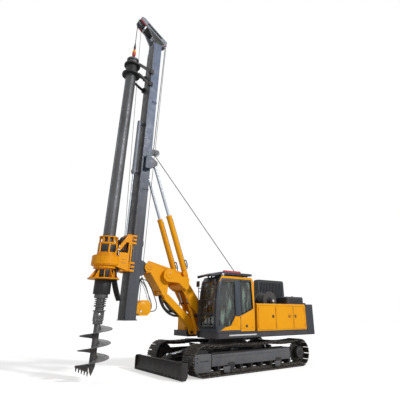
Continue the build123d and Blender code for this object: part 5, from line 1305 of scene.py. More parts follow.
# ---------------------------------------------------------------- cab
@dataclass
class Cab:
    """Frames, seals, roof, mirrors, handle and inside of the operator's cab."""

    left: float = 1.33
    right: float = 0.365
    front: float = 1.50
    rear: float = -0.11

    def build(self) -> None:
        """Builds every piece of the cab."""
        self.side_paint()
        self.door_skin()
        self.seals()
        self.roof()
        self.mirrors()
        self.inside()

    def side_paint(self) -> None:
        """Yellow roof edge, rear pillar and lower rear panel on the slate cab, with its latch plates."""
        paint = Piece("cab_side_paint", Body.UPPER, Finishes.YELLOW)
        outline = (
            (1.385, 2.63), (1.283, 2.797), (-0.018, 2.797), (-0.107, 2.678), (-0.107, 1.16), (0.492, 1.16),
            (0.492, 1.622), (0.43, 1.632), (-0.058, 1.822), (0.006, 2.712), (0.03, 2.738), (1.268, 2.738),
            (1.335, 2.62),
        )
        paint.prism(outline, "y", self.left - 0.002, self.left + 0.004)
        paint.box((-0.114, -0.106), (1.24, self.left + 0.004), (1.16, 2.678)).done()
        dark = Piece("cab_latch_plates", Body.UPPER, Finishes.CHARCOAL_PLASTIC)
        face = (self.left + 0.002, self.left + 0.010)
        dark.box((0.205, 0.290), face, (1.272, 1.348)).box((-0.005, 0.012), face, (1.262, 1.290))
        for strip in (
            ((-0.052, 1.826), (0.43, 1.640), (0.432, 1.662), (-0.044, 1.846)),
            ((0.438, 1.645), (0.470, 1.640), (0.502, 2.705), (0.470, 2.705)),
            ((0.008, 2.655), (0.498, 2.655), (0.50, 2.708), (0.012, 2.708)),
            ((-0.056, 1.83), (-0.034, 1.83), (0.030, 2.70), (0.008, 2.70)),
        ):
            dark.prism(strip, "y", *face)
        dark.done()
        skirts = Piece("visor_skirts", Body.UPPER, Finishes.DARK)
        drop = ((-0.09, 2.862), (1.24, 2.862), (1.63, 2.755), (1.655, 2.826), (1.25, 2.938), (-0.09, 2.938))
        for y in ((1.256, 1.266), (0.464, 0.474)):
            skirts.prism(drop, "y", *y)
        skirts.box((-0.10, -0.085), (0.47, 1.26), (2.87, 2.935)).done()

    def door_skin(self) -> None:
        """Slate door frame over the yellow sheet, its yellow corner with slats, and the handle."""
        skin = (self.left - 0.001, self.left + 0.012)
        Piece("door_frame", Body.CAB_DOOR, Finishes.CAB_SLATE, 0.003).prism((
            (0.50, 1.66), (0.505, 1.60), (0.69, 1.60), (0.70, 1.63), (0.75, 2.62), (0.79, 2.648), (1.24, 2.648),
            (1.31, 2.56), (1.39, 2.01), (1.395, 1.66), (1.28, 1.36), (1.13, 1.285), (1.30, 1.21), (1.43, 1.203),
            (1.462, 1.42), (1.452, 2.01), (1.368, 2.60), (1.30, 2.722), (0.627, 2.722),
        ), "y", *skin).done()
        slats = Piece("door_corner_slats", Body.CAB_DOOR, Finishes.YELLOW, 0.005)
        for x in (0.66, 0.74, 0.82):
            slat = ((x, 1.32), (x + 0.034, 1.32), (x - 0.066, 1.50), (x - 0.10, 1.50))
            slats.prism(slat, "y", self.left - 0.002, self.left + 0.012)
        slats.done()
        handle = Piece("door_handle", Body.CAB_DOOR, Finishes.CHARCOAL_PLASTIC, 0.004)
        plate = ((1.325, 1.33), (1.385, 1.33), (1.395, 1.53), (1.335, 1.53))
        handle.prism(plate, "y", self.left + 0.010, self.left + 0.018)
        grip = ((1.345, 1.36), (1.365, 1.36), (1.375, 1.49), (1.355, 1.49))
        handle.prism(grip, "y", self.left + 0.016, self.left + 0.034).done()

    def seals(self) -> None:
        """Rubber seals that follow the edges of the door's glass and of the fixed panes."""
        door = ((1.05, 1.30), (0.90, 1.34), (0.70, 1.64), (0.75, 2.63), (1.24, 2.63), (1.31, 2.55),
                (1.38, 2.01), (1.385, 1.66), (1.27, 1.36), (1.12, 1.30))
        low, high = self.right + 0.10, self.left - 0.10
        rows = [("door_seal", Body.CAB_DOOR, flat(door, self.left - 0.012))]
        for name, z0, z1 in (("upper", 1.70, 2.64), ("lower", 1.26, 1.63)):
            corners = ((low, z0), (high, z0), (high, z1), (low, z1))
            edge = [(self.front_face(z) - 0.012, y, z) for y, z in corners]
            rows.append((f"screen_seal_{name}", Body.UPPER, edge))
        corners = ((low, 1.86), (high, 1.86), (high, 2.59), (low, 2.59))
        rows.append(("rear_seal", Body.UPPER, [(self.rear + 0.008, y, z) for y, z in corners]))
        side = ((0.05, 1.77), (1.22, 1.77), (1.22, 2.63), (0.05, 2.63))
        rows.append(("right_seal", Body.UPPER, flat(side, self.right + 0.012)))
        for name, body, edge in rows:
            Piece(name, body, Finishes.RUBBER, 0.0).tube(bent([*edge, edge[0]], 0.05, 4), 0.014, 8).done()

    def front_face(self, z: float) -> float:
        """How far forward the cab's front wall is at a height."""
        if z <= 2.02:
            return self.front - 0.012 * (z - 1.41) / 0.61
        return self.front - 0.012 - 0.093 * (z - 2.02) / 0.62

    def roof(self) -> None:
        """Roof gutter, the lens ribs of the light bar and the wiper."""
        gutter = Piece("roof_gutter", Body.UPPER, Finishes.YELLOW, 0.004)
        gutter.tube(((0.00, self.left, 2.795), (1.26, self.left, 2.795)), 0.014, 8).done()
        (x0, x1), (y0, y1), (_, top) = Place.box("light_bar")
        ribs, y = Repeats("light_bar_ribs", Body.UPPER, Finishes.LENS), (y0 + y1) / 2
        rib = blocks("lens_rib", [((-0.008, 0.008), (-0.050, 0.050), (-0.002, 0.004))], 0.003)
        ribs.row(rib, (x0 + 0.05, y, top), (x1 - 0.05, y, top), 12).done()
        wiper = Piece("wiper", Body.UPPER, Finishes.CHARCOAL_PLASTIC, 0.001)
        x, y, z = self.front_face(1.68) + 0.012, 0.55, 1.67
        wiper.rod((x - 0.02, y, z), (x + 0.02, y, z), 0.02)
        wiper.rod((x, y, z), (self.front_face(2.40) + 0.020, 0.80, 2.40), 0.007, 8)
        low, high = ((self.front_face(z) + 0.014, y, z) for y, z in ((0.79, 2.0), (0.83, 2.58)))
        wiper.rod(low, high, 0.009, 6).done()

    def mirrors(self) -> None:
        """Mirror heads on their arms at the cab's front corners, and the hand rail."""
        for (side, name, _), y in zip(SIDES, (self.left, self.right)):
            near = y - side * 0.06
            arm = Piece(f"mirror_arm_{name}", Body.UPPER, Finishes.CHARCOAL_PLASTIC)
            start, elbow = (self.front_face(2.3) - 0.02, near, 2.30), (self.front + 0.05, near, 2.36)
            arm.tube(bent((start, elbow, (self.front + 0.06, y - side * 0.02, 2.56)), 0.06), 0.010, 8)
            wide, pane = (sided(side, low, high, side * y) for low, high in ((-0.10, 0.04), (-0.09, 0.03)))
            arm.box((self.front + 0.045, self.front + 0.085), wide, (2.50, 2.68)).done()
            glass = Piece(f"mirror_glass_{name}", Body.UPPER, Finishes.CHROME, 0.001)
            glass.box((self.front + 0.039, self.front + 0.046), pane, (2.51, 2.67)).done()
        rail = flat(((1.47, 1.45), (1.56, 1.47), (1.55, 2.05), (1.47, 2.07)), self.left - 0.03)
        Piece("cab_hand_rail", Body.UPPER, Finishes.CHARCOAL_PLASTIC, 0.0).tube(bent(rail, 0.05), 0.013).done()

    def inside(self) -> None:
        """Monitor, levers and console behind the glass."""
        desk = Piece("cab_console", Body.UPPER, Finishes.CHARCOAL_PLASTIC, 0.006)
        desk.prism(((1.22, 1.21), (1.40, 1.21), (1.40, 1.62), (1.30, 1.66)), "y", 0.50, 1.18)
        desk.box((1.18, 1.22), (0.46, 0.66), (1.75, 1.95))
        desk.rod((1.22, 0.56, 1.60), (1.20, 0.56, 1.78), 0.018, 8)
        for y in (0.52, 1.18):
            desk.rod((0.84, y, 1.94), (0.85, y, 2.05), 0.026, 10, 0.018)
        for y in (0.74, 0.92):
            desk.rod((1.10, y, 1.22), (1.04, y, 1.52), 0.014, 8)
            desk.box((1.06, 1.20), around(y, 0.05), (1.215, 1.235))
        desk.done()
        Piece("cab_lever_knob", Body.UPPER, Finishes.RED, 0.004).lathe((1.04, 0.92, 1.52), "+z", (
            (-0.01, 0.0), (-0.01, 0.02), (0.02, 0.028), (0.05, 0.018), (0.055, 0.0),
        ), 14).done()


# ---------------------------------------------------------------- boom linkage
@dataclass
class Linkage:
    """Pins, caps, hoses and valve blocks of boom, link, triangle and cylinders."""

    boom_tip: Pair = (2.69, 2.81)
    boom_foot: Pair = (1.20, 1.62)
    link_foot: Pair = (1.26, 1.11)
    mast_pivot: Pair = (3.34, 3.02)
    cylinder_foot: Pair = (2.025, 2.825)
    cylinder_head: Pair = (3.52, 6.50)
    luff_foot: Pair = (1.40, 1.10)
    luff_head: Pair = (1.985, 2.44)

    def build(self) -> None:
        """Builds the fittings of the linkage."""
        self.pin_caps()
        self.mast_cylinders()
        self.luff_collars()
        self.hoses()
        self.triangle_trim()

    @staticmethod
    def caps(name: str, body: Body, finish: Surface, *rows: tuple[Pair, float, float, float]) -> None:
        """Piece with stepped caps on the ends of pins, on both sides.

        Args:
            name: Name of the piece.
            body: The CAD body that it rides on.
            finish: Its finish.
            *rows: (x, z) of each pin, distance of its end from the middle plane, radius and height of the cap.
        """
        piece = Piece(name, body, finish)
        for side, _, axis in SIDES:
            for (x, z), reach, radius, height in rows:
                step = height * 0.6
                piece.lathe((x, side * reach, z), axis, (
                    (-0.003, 0.0), (-0.003, radius), (step, radius), (height, radius * 0.88),
                    (height, radius * 0.35), (step, radius * 0.30), (step, 0.0),
                ), 28)
        piece.done()

    def pin_caps(self) -> None:
        """Pin caps with their keeper bolts on boom, triangle and deck."""
        x, z = self.boom_tip
        self.caps("boom_pin_caps", Body.BOOM, Finishes.YELLOW, (self.boom_tip, 0.440, 0.118, 0.016))
        # painted highlight: small white glossy caps where light glints on the boom pin ends
        self.caps("grease_caps", Body.BOOM, Finishes.LAMP, ((x - 0.045, z + 0.075), 0.4405, 0.017, 0.018))
        self.caps("deck_pin_caps", Body.UPPER, Finishes.DARK,
                  (self.boom_foot, 0.335, 0.085, 0.016), (self.link_foot, 0.335, 0.068, 0.016))
        self.caps("triangle_pin_caps", Body.TRIANGLE, Finishes.DRIVE_YELLOW,
                  (self.mast_pivot, 0.278, 0.095, 0.016), (self.cylinder_foot, 0.3665, 0.052, 0.005))
        bolts = Repeats("linkage_bolts", Body.TRIANGLE, Finishes.BOLT)
        keepers = Repeats("boom_bolts", Body.BOOM, Finishes.YELLOW)
        for side, _, axis in SIDES:
            bolts.ring(bolt(0.012), (self.mast_pivot[0], side * 0.286, self.mast_pivot[1]), axis, 0.070, 6)
            keepers.ring(bolt(0.010), (x, side * 0.450, z), axis, 0.088, 8)
        bolts.done()
        keepers.done()

    def mast_cylinders(self) -> None:
        """Gland rings, feed pipes, valve blocks and hoses on the mast cylinders."""
        foot, head = (Vector((x, 0.0, z)) for x, z in (self.cylinder_foot, self.cylinder_head))
        run = (head - foot).normalized()
        behind = Vector((-run.z, 0.0, run.x))
        for side, name, _ in SIDES:
            across = Vector((0.0, side * 0.325, 0.0))

            def spot(along: float, back: float, inward: float = 1.0) -> Vector:
                """Point by its distances along and behind the cylinder's line."""
                return foot + run * along + behind * back + across * inward

            rings = Piece(f"mast_cylinder_fittings_{name}", Body.MAST_BARRELS, Finishes.YELLOW)
            for start, end, radius in ((2.02, 2.084, 0.0985), (0.205, 0.235, 0.096)):
                rings.rod(spot(start, 0.0), spot(end, 0.0), radius, 24)
            rings.done()
            pipe = Piece(f"mast_cylinder_pipe_{name}", Body.MAST_BARRELS, Finishes.STEEL)
            route = ((0.30, 0.085), (0.30, 0.112), (1.98, 0.112), (1.98, 0.085))
            pipe.tube(bent([spot(*at) for at in route], 0.03), 0.009, 8)
            for along in (0.75, 1.45):
                pipe.rod(spot(along - 0.02, 0.104), spot(along + 0.02, 0.104), 0.018, 10)
            pipe.done()
            block = Piece(f"mast_cylinder_valve_{name}", Body.MAST_BARRELS, Finishes.CHARCOAL_PLASTIC, 0.004)
            block.rod(spot(0.27, 0.10), spot(0.40, 0.10), 0.036, 8).done()
            route = ((0.40, 0.10), (0.50, 0.12), (0.48, 0.18), (0.30, 0.18), (0.20, 0.13, 0.93))
            path = bent([spot(*at) for at in route], 0.05)
            strand(f"mast_cylinder_hose_{name}", Body.MAST_BARRELS, Finishes.RUBBER, path, 0.018)

    def luff_collars(self) -> None:
        """Gland rings of the luffing cylinders."""
        foot, head = (Vector((x, 0.0, z)) for x, z in (self.luff_foot, self.luff_head))
        run = (head - foot).normalized()
        collars = Piece("luff_collars", Body.LUFF_BARRELS, Finishes.DARK)
        for side, _, _ in SIDES:
            across = Vector((0.0, side * 0.19, 0.0))
            collars.rod(foot + run * 0.955 + across, foot + run * 1.008 + across, 0.0535, 20)
        collars.done()

    def hoses(self) -> None:
        """Free hoses with the same routes as their CAD tubes, and the bundles that are tied down."""
        outer = ((2.550, 2.160), (2.550, 2.040), (2.520, 1.930), (2.440, 1.832), (2.320, 1.755), (2.170, 1.712),
                 (1.980, 1.712))
        inner = ((2.470, 2.160), (2.470, 2.050), (2.440, 1.950), (2.375, 1.868), (2.275, 1.808), (2.140, 1.780),
                 (1.980, 1.780))
        winch = ((3.620, 2.655), (3.480, 2.655), (3.350, 2.632), (3.240, 2.525), (3.155, 2.385), (3.080, 2.230),
                 (3.000, 2.085), (2.950, 1.965), (2.935, 1.870), (2.957, 1.787), (3.027, 1.740), (3.145, 1.740))
        for node, body, route, y, thick in (
            ("link_hose_outer", Body.LINK, outer, -0.170, 0.038),
            ("link_hose_inner", Body.LINK, inner, -0.170, 0.038),
            ("winch_hose_left", Body.MAST, winch, 0.1775, 0.026),
            ("winch_hose_right", Body.MAST, winch, -0.1775, 0.026),
        ):
            FreeHose(node, body, flat(route, y), thick).build()
        wide = ((2.77, 2.35), (2.72, 2.08), (2.57, 1.84), (2.35, 1.67), (2.12, 1.60), (1.95, 1.63))
        near = ((2.68, 2.30), (2.61, 2.08), (2.46, 1.87), (2.28, 1.73), (2.09, 1.68), (1.95, 1.68))
        bundle = ((wide, -0.08, 0.030), (wide, 0.0, 0.030), (near, -0.02, 0.026), (near, 0.06, 0.026))
        for index, (route, y, thick) in enumerate(bundle):
            strand(f"link_bundle_{index}", Body.LINK, Finishes.RUBBER, bent(flat(route, y), 0.2), thick)
        back = ((3.46, 2.70), (3.54, 2.655), (3.575, 2.43), (3.585, 2.17), (3.59, 1.94))
        strand("mast_foot_hose", Body.MAST, Finishes.RUBBER, bent(flat(back, 0.12), 0.09), 0.024)
        pale = ((3.42, 2.68), (3.31, 2.50), (3.21, 2.30), (3.14, 2.07), (3.14, 1.89), (3.19, 1.78))
        for index, (shift, y) in enumerate(((0.0, 0.05), (0.05, 0.09), (0.10, 0.02))):
            route = [(x + shift * (1 - i / 6), y, z) for i, (x, z) in enumerate(pale)]
            strand(f"pale_line_{index}", Body.MAST, Finishes.BOLT, bent(route, 0.15), 0.008)

    def triangle_trim(self) -> None:
        """Stiffener edges along the triangle's plates and the grease nipples on them."""
        trim = Piece("triangle_trim", Body.TRIANGLE, Finishes.YELLOW, 0.003)
        trim.plates(((3.30, 3.185), (3.36, 3.205), (2.13, 2.815), (2.13, 2.795)), 0.2775, 0.286).done()
        nipples = Repeats("grease_nipples", Body.TRIANGLE, Finishes.STEEL)
        for side, _, axis in SIDES:
            nipples.single(rivet(0.010), flat(((3.34, 3.13), (2.75, 2.40), (2.85, 2.62)), side * 0.2785), axis)
        nipples.done()


@dataclass
class FreeHose:
    """Hydraulic hose that hangs between two ports, with its end fittings."""

    node: str
    body: Body
    route: list[Triple]
    diameter: float

    def build(self) -> None:
        """Builds the hose on one smooth spline and its two crimped fittings."""
        hose = curve_along(self.node + "_cover", self.route, "NURBS", self.diameter / 2, 3)
        hose.data.materials.append(Finishes.RUBBER.material())
        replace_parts(hose, self.node)
        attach(hose, self.body.value)
        fittings = Piece(self.node + "_fittings", self.body, Finishes.STEEL)
        for end, inward in ((self.route[0], self.route[1]), (self.route[-1], self.route[-2])):
            start, toward = Vector(end), (Vector(inward) - Vector(end)).normalized()
            fittings.rod(start, start + toward * 0.045, self.diameter * 0.56, 12)
            fittings.rod(start, start + toward * 0.014, self.diameter * 0.72, 6)
        fitting = fittings.done()
        tuple(Place.at(*self.route[0]))
        self.length()
        LOG.info("%s: hose of %.2f m", self.node, self.length())

    def length(self) -> float:
        """Length of the hose's smooth line in metres."""
        holder = curve_along("measure", self.route, "NURBS", 0.0, 0)
        spots = [vertex.co for vertex in bpy.data.meshes.new_from_object(holder).vertices]
        bpy.data.objects.remove(holder)
        return sum((b - a).length for a, b in zip(spots, spots[1:]))


# ---------------------------------------------------------------- mast and its head
def head_point(share: float, lift: float) -> Pair:
    """Point on the sloping line of the mast head: share of its length, height above the line."""
    rear, front = Vector((3.42, 12.06)), Vector((4.60, 12.83))
    run = front - rear
    return tuple(rear + run * share + Vector((-run.y, run.x)).normalized() * lift)


@dataclass
class MastDress:
    """Section flanges, bolts, wear strips, head trim, hose saddles and winch covers of the mast."""

    rear: float = 3.62
    front: float = 3.96
    half: float = 0.25
    winch: Pair = (3.36, 1.835)

    def build(self) -> None:
        """Builds the fittings of the mast."""
        self.shell()
        self.head()
        self.brackets()
        self.winch_box()

    def shell(self) -> None:
        """Dark sheet of painted shade on the front face, section flanges, seam strips and rail bolts of the box
        mast.
        """
        # dark sheet that paints the shade on the mast's front face
        face = Piece("mast_front_face", Body.MAST, Finishes.FRONT_SHADE, 0.001)
        face.box((self.front - 0.002, self.front + 0.003), (-0.2495, 0.2495), (1.52, 11.75)).done()
        flanges = Piece("mast_flanges", Body.MAST, Finishes.MAST, 0.003)
        bolts = Repeats("mast_bolts", Body.MAST, Finishes.BOLT)
        for z in (5.55, 9.05):
            flanges.box((self.rear - 0.018, self.rear + 0.002), (-self.half, self.half), around(z, 0.022))
            wide = (self.half - 0.002, self.half + 0.018)
            flanges.boxes((self.rear, self.front - 0.16), wide, around(z, 0.022))
            for side, _, axis in SIDES:
                y, x0, x1 = side * self.half, self.rear + 0.05, self.front - 0.19
                for level in around(z, 0.045):
                    bolts.row(bolt(0.010), (x0, y, level), (x1, y, level), 4, axis)
        flanges.done()
        bolts.done()
        rail_bolts = Repeats("rail_bolts", Body.MAST, Finishes.BOLT)
        for y in around(0.0, self.half - 0.035):
            rail_bolts.row(rivet(0.009), (self.front, y, 2.0), (self.front, y, 11.3), 40, "+x")
        rail_bolts.done()
        strips = Piece("rail_wear_strips", Body.MAST, Finishes.STEEL, 0.001)
        strips.boxes((self.front - 0.002, self.front + 0.004), (0.258, 0.297), (1.60, 11.50)).done()
        cable = Piece("mast_cable_duct", Body.MAST, Finishes.CHARCOAL_PLASTIC, 0.003)
        for z in ((3.45, 6.75), (7.45, 11.70)):
            cable.box((self.rear - 0.028, self.rear + 0.001), (0.14, 0.19), z)
        cable.done()

    def head(self) -> None:
        """Red tips, shade plates and spacer bolts of the mast head."""
        tip, slot, gusset, web = ([head_point(*at) for at in outline] for outline in (
            ((1.0, 0.05), (1.0, -0.02), (0.93, -0.11), (0.75, -0.116), (0.75, -0.122), (0.932, -0.117),
             (1.005, -0.023), (1.005, 0.05)),
            ((0.24, 0.056), (0.74, 0.056), (0.765, 0.035), (0.77, 0.01), (0.765, -0.015), (0.74, -0.036),
             (0.24, -0.036), (0.215, -0.015), (0.21, 0.01), (0.215, 0.035)),
            ((0.03, -0.095), (0.62, -0.088), (0.615, -0.119)),
            ((0.44, -0.10), (0.72, -0.10), (0.72, -0.082), (0.44, -0.082)),
        ))
        gusset += [(3.966, 12.0), (3.956, 11.86), (3.615, 11.86)]
        shade = Piece("head_shade_plates", Body.MAST, Finishes.SOOT, 0.001)
        shade.plates(slot, 0.2065, 0.211).plates(gusset, 0.2445, 0.2485).prism(web, "y", -0.176, 0.176).done()
        red = Piece("head_tips", Body.MAST, Finishes.RED, 0.001)
        rear = ((3.458, 12.001), (3.548, 11.906), (3.543, 11.902), (3.453, 11.996))
        red.plates(tip, 0.173, 0.2465).plates(rear, 0.173, 0.2465).done()
        rods = Repeats("head_spacer_bolts", Body.MAST, Finishes.BOLT)
        for side, _, axis in SIDES:
            spots = flat(((3.56, 12.13), (3.62, 12.28), (4.20, 12.66), (4.42, 12.80)), side * 0.2450)
            rods.single(bolt(0.016), spots, axis)
        rods.done()

    def brackets(self) -> None:
        """Hose saddles up the mast's back and valve blocks near its foot."""
        saddles = Repeats("hose_saddles", Body.MAST, Finishes.CHARCOAL_PLASTIC)
        saddle = blocks("saddle", [((-0.035, 0.035), (-0.012, 0.012), (-0.001, 0.030))], 0.004)
        places = [((self.rear, 0.165, z), TURNS["-x"]) for z in (3.6, 4.4, 5.2, 6.0, 8.0, 9.6, 10.4, 11.2)]
        saddles.spots(saddle, places).done()
        valves = Piece("mast_valve_blocks", Body.MAST, Finishes.CHARCOAL_PLASTIC, 0.006)
        for low, depth in ((3.42, 0.05), (3.66, 0.075), (3.90, 0.05), (4.10, 0.035)):
            x, z = self.rear - depth, low + 0.085
            valves.box((x, self.rear + 0.001), (-0.02, 0.13), (low, low + 0.17))
            valves.rod((x, 0.05, z), (x - 0.03, 0.05, z), 0.028, 10)
        valves.done()

    def winch_box(self) -> None:
        """Cover plates, blank plate, bolts and rope of the auxiliary winch."""
        x, z = self.winch
        corners = ((-0.10, -0.16), (0.10, -0.16), (0.16, -0.10), (0.16, 0.10), (0.10, 0.16), (-0.10, 0.16),
                   (-0.16, 0.10), (-0.16, -0.10))
        face = Piece("winch_face", Body.MAST, Finishes.YELLOW, 0.003)
        face.plates([(x + dx, z + dz) for dx, dz in corners], 0.199, 0.208).done()
        plate = Piece("winch_blank_plate", Body.MAST, Finishes.LAMP, 0.001)
        plate.box((x + 0.065, x + 0.135), (0.206, 0.211), (z - 0.125, z - 0.080)).done()
        bolts = Repeats("winch_face_bolts", Body.MAST, Finishes.BOLT)
        for side, _, axis in SIDES:
            bolts.ring(bolt(0.010), (x, side * 0.208, z), axis, 0.125, 8, 0.39)
            bolts.ring(bolt(0.008), (x, side * 0.208, z), axis, 0.055, 6)
        bolts.done()
        rope = Repeats("aux_rope_wraps", Body.AUX_DRUM, Finishes.ROPE_PLAIN)
        rope.row(torus("wrap_aux", 0.114, 0.010, 24, 5), (x, -0.125, z), (x, 0.125, z), 13, "+y").done()


# ---------------------------------------------------------------- ropes
@dataclass
class Ropes:
    """Main rope from its drum over the mast head to the Kelly bar, auxiliary rope and tie line."""

    front: Pair = (4.50, 12.70)
    rear: Pair = (3.505, 12.125)
    middle: Pair = (3.33, 7.11)
    drum: Pair = (-1.75, 2.12)
    wheel: float = 0.157
    middle_wheel: float = 0.117
    leave: float = 44.0

    def build(self) -> None:
        """Builds every rope with its end fittings."""
        self.slope = math.degrees(math.atan2(self.front[1] - self.rear[1], self.front[0] - self.rear[0])) + 90
        self.top = (self.front[0] + self.wheel, 0.0, self.front[1] - 0.05)
        self.over_the_head()
        self.to_the_drum()
        self.kelly_drop()
        self.auxiliary()
        self.tie_line()

    @staticmethod
    def arc(
        centre: Pair, radius: float, start: float, end: float, y: float = 0.0, steps: int = 8,
    ) -> list[Triple]:
        """Points round a sheave, with angles in degrees from +X towards +Z."""
        turns = [math.radians(start + (end - start) * i / steps) for i in range(steps + 1)]
        return [(centre[0] + radius * math.cos(t), y, centre[1] + radius * math.sin(t)) for t in turns]

    def over_the_head(self) -> None:
        """Main rope over both head sheaves and down the back to the middle sheave."""
        path = [self.top, *self.arc(self.front, self.wheel, 0, self.slope)]
        path += self.arc(self.rear, self.wheel, self.slope, 180)
        path += self.arc(self.middle, self.middle_wheel, 0, -self.leave, steps=4)
        strand("main_rope_mast", Body.MAST, Finishes.ROPE, path, 0.014)

    def to_the_drum(self) -> None:
        """Main rope from the middle sheave to its drum."""
        start = self.arc(self.middle, self.middle_wheel, 0, -self.leave)[-1]
        turn = math.radians(self.leave)
        end = (self.drum[0] + 0.26 * math.sin(turn), -0.04, self.drum[1] - 0.26 * math.cos(turn))
        rope = strand("main_rope_deck", Body.UPPER, Finishes.ROPE, straight(start, end, 12), 0.014)
        Place.at(*end)
        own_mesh(rope)

    def kelly_drop(self) -> None:
        """Main rope in front of the mast, its thimble and the swivel on the Kelly bar."""
        top, low = self.top, (4.65, 0.0, 11.46)
        rope = strand("main_rope_drop", None, Finishes.ROPE, straight(top, low, 10), 0.014)
        Place.at(*top)
        Place.at(*low)
        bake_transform(rope)
        for name, finish, bevel, z, sides, profile in (
            ("rope_thimble", Finishes.CHARCOAL_PLASTIC, 0.003, 11.28, 16, (
                (0.0, 0.0), (0.0, 0.038), (0.10, 0.046), (0.22, 0.030), (0.30, 0.020), (0.30, 0.0))),
            ("swivel_red", Finishes.RED, 0.003, 10.92, 20, (
                (0.0, 0.0), (0.0, 0.040), (0.05, 0.066), (0.16, 0.072), (0.20, 0.050), (0.30, 0.044),
                (0.37, 0.030), (0.37, 0.0))),
            ("swivel_yellow", Finishes.YELLOW, 0.002, 11.10, 20, (
                (0.0, 0.030), (0.0, 0.062), (0.06, 0.068), (0.11, 0.052), (0.11, 0.030), (0.0, 0.030))),
        ):
            Piece(name, Body.KELLY_GUIDE, finish, bevel).lathe((4.65, 0.0, z), "+z", profile, sides).done()
        eye = Piece("kelly_eye", Body.KELLY, Finishes.STEEL, 0.004)
        eye.box((4.60, 4.70), (-0.018, 0.018), (10.80, 10.925)).done()

    def auxiliary(self) -> None:
        """Auxiliary rope from its drum up the back of the mast and over the head, with its socket."""
        path = [(3.36 + 0.125, 0.06, 1.835), *self.arc(self.rear, 0.152, 180, self.slope, 0.09)]
        path += self.arc(self.front, 0.152, self.slope, 30, 0.09)
        strand("aux_rope", Body.MAST, Finishes.ROPE, path, 0.0085)
        at, turn = Vector(path[-1]), math.radians(30)
        socket = Piece("aux_rope_socket", Body.MAST, Finishes.STEEL, 0.003)
        socket.rod(at, at + Vector((math.sin(turn), 0.0, -math.cos(turn))) * 0.07, 0.014, 10, 0.020).done()

    @staticmethod
    def tie_line() -> None:
        """Thin line from the head down to the drive carriage, in front of the mast."""
        top, low = (4.44, -0.150, 12.60), (4.08, -0.200, 3.985)
        rope = strand("tie_line", None, Finishes.ROPE, straight(top, low, 14), 0.008)
        Place.at(*top)
        Place.at(*low)
        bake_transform(rope)
        lug = Piece("tie_line_lug", Body.MAST, Finishes.DARK, 0.003)
        lug.box((4.41, 4.47), (-0.178, -0.140), (12.585, 12.64)).done()
        eye = Piece("tie_line_eye", Body.DRIVE, Finishes.STEEL, 0.003)
        eye.box((4.055, 4.105), (-0.212, -0.188), (3.948, 3.995)).done()


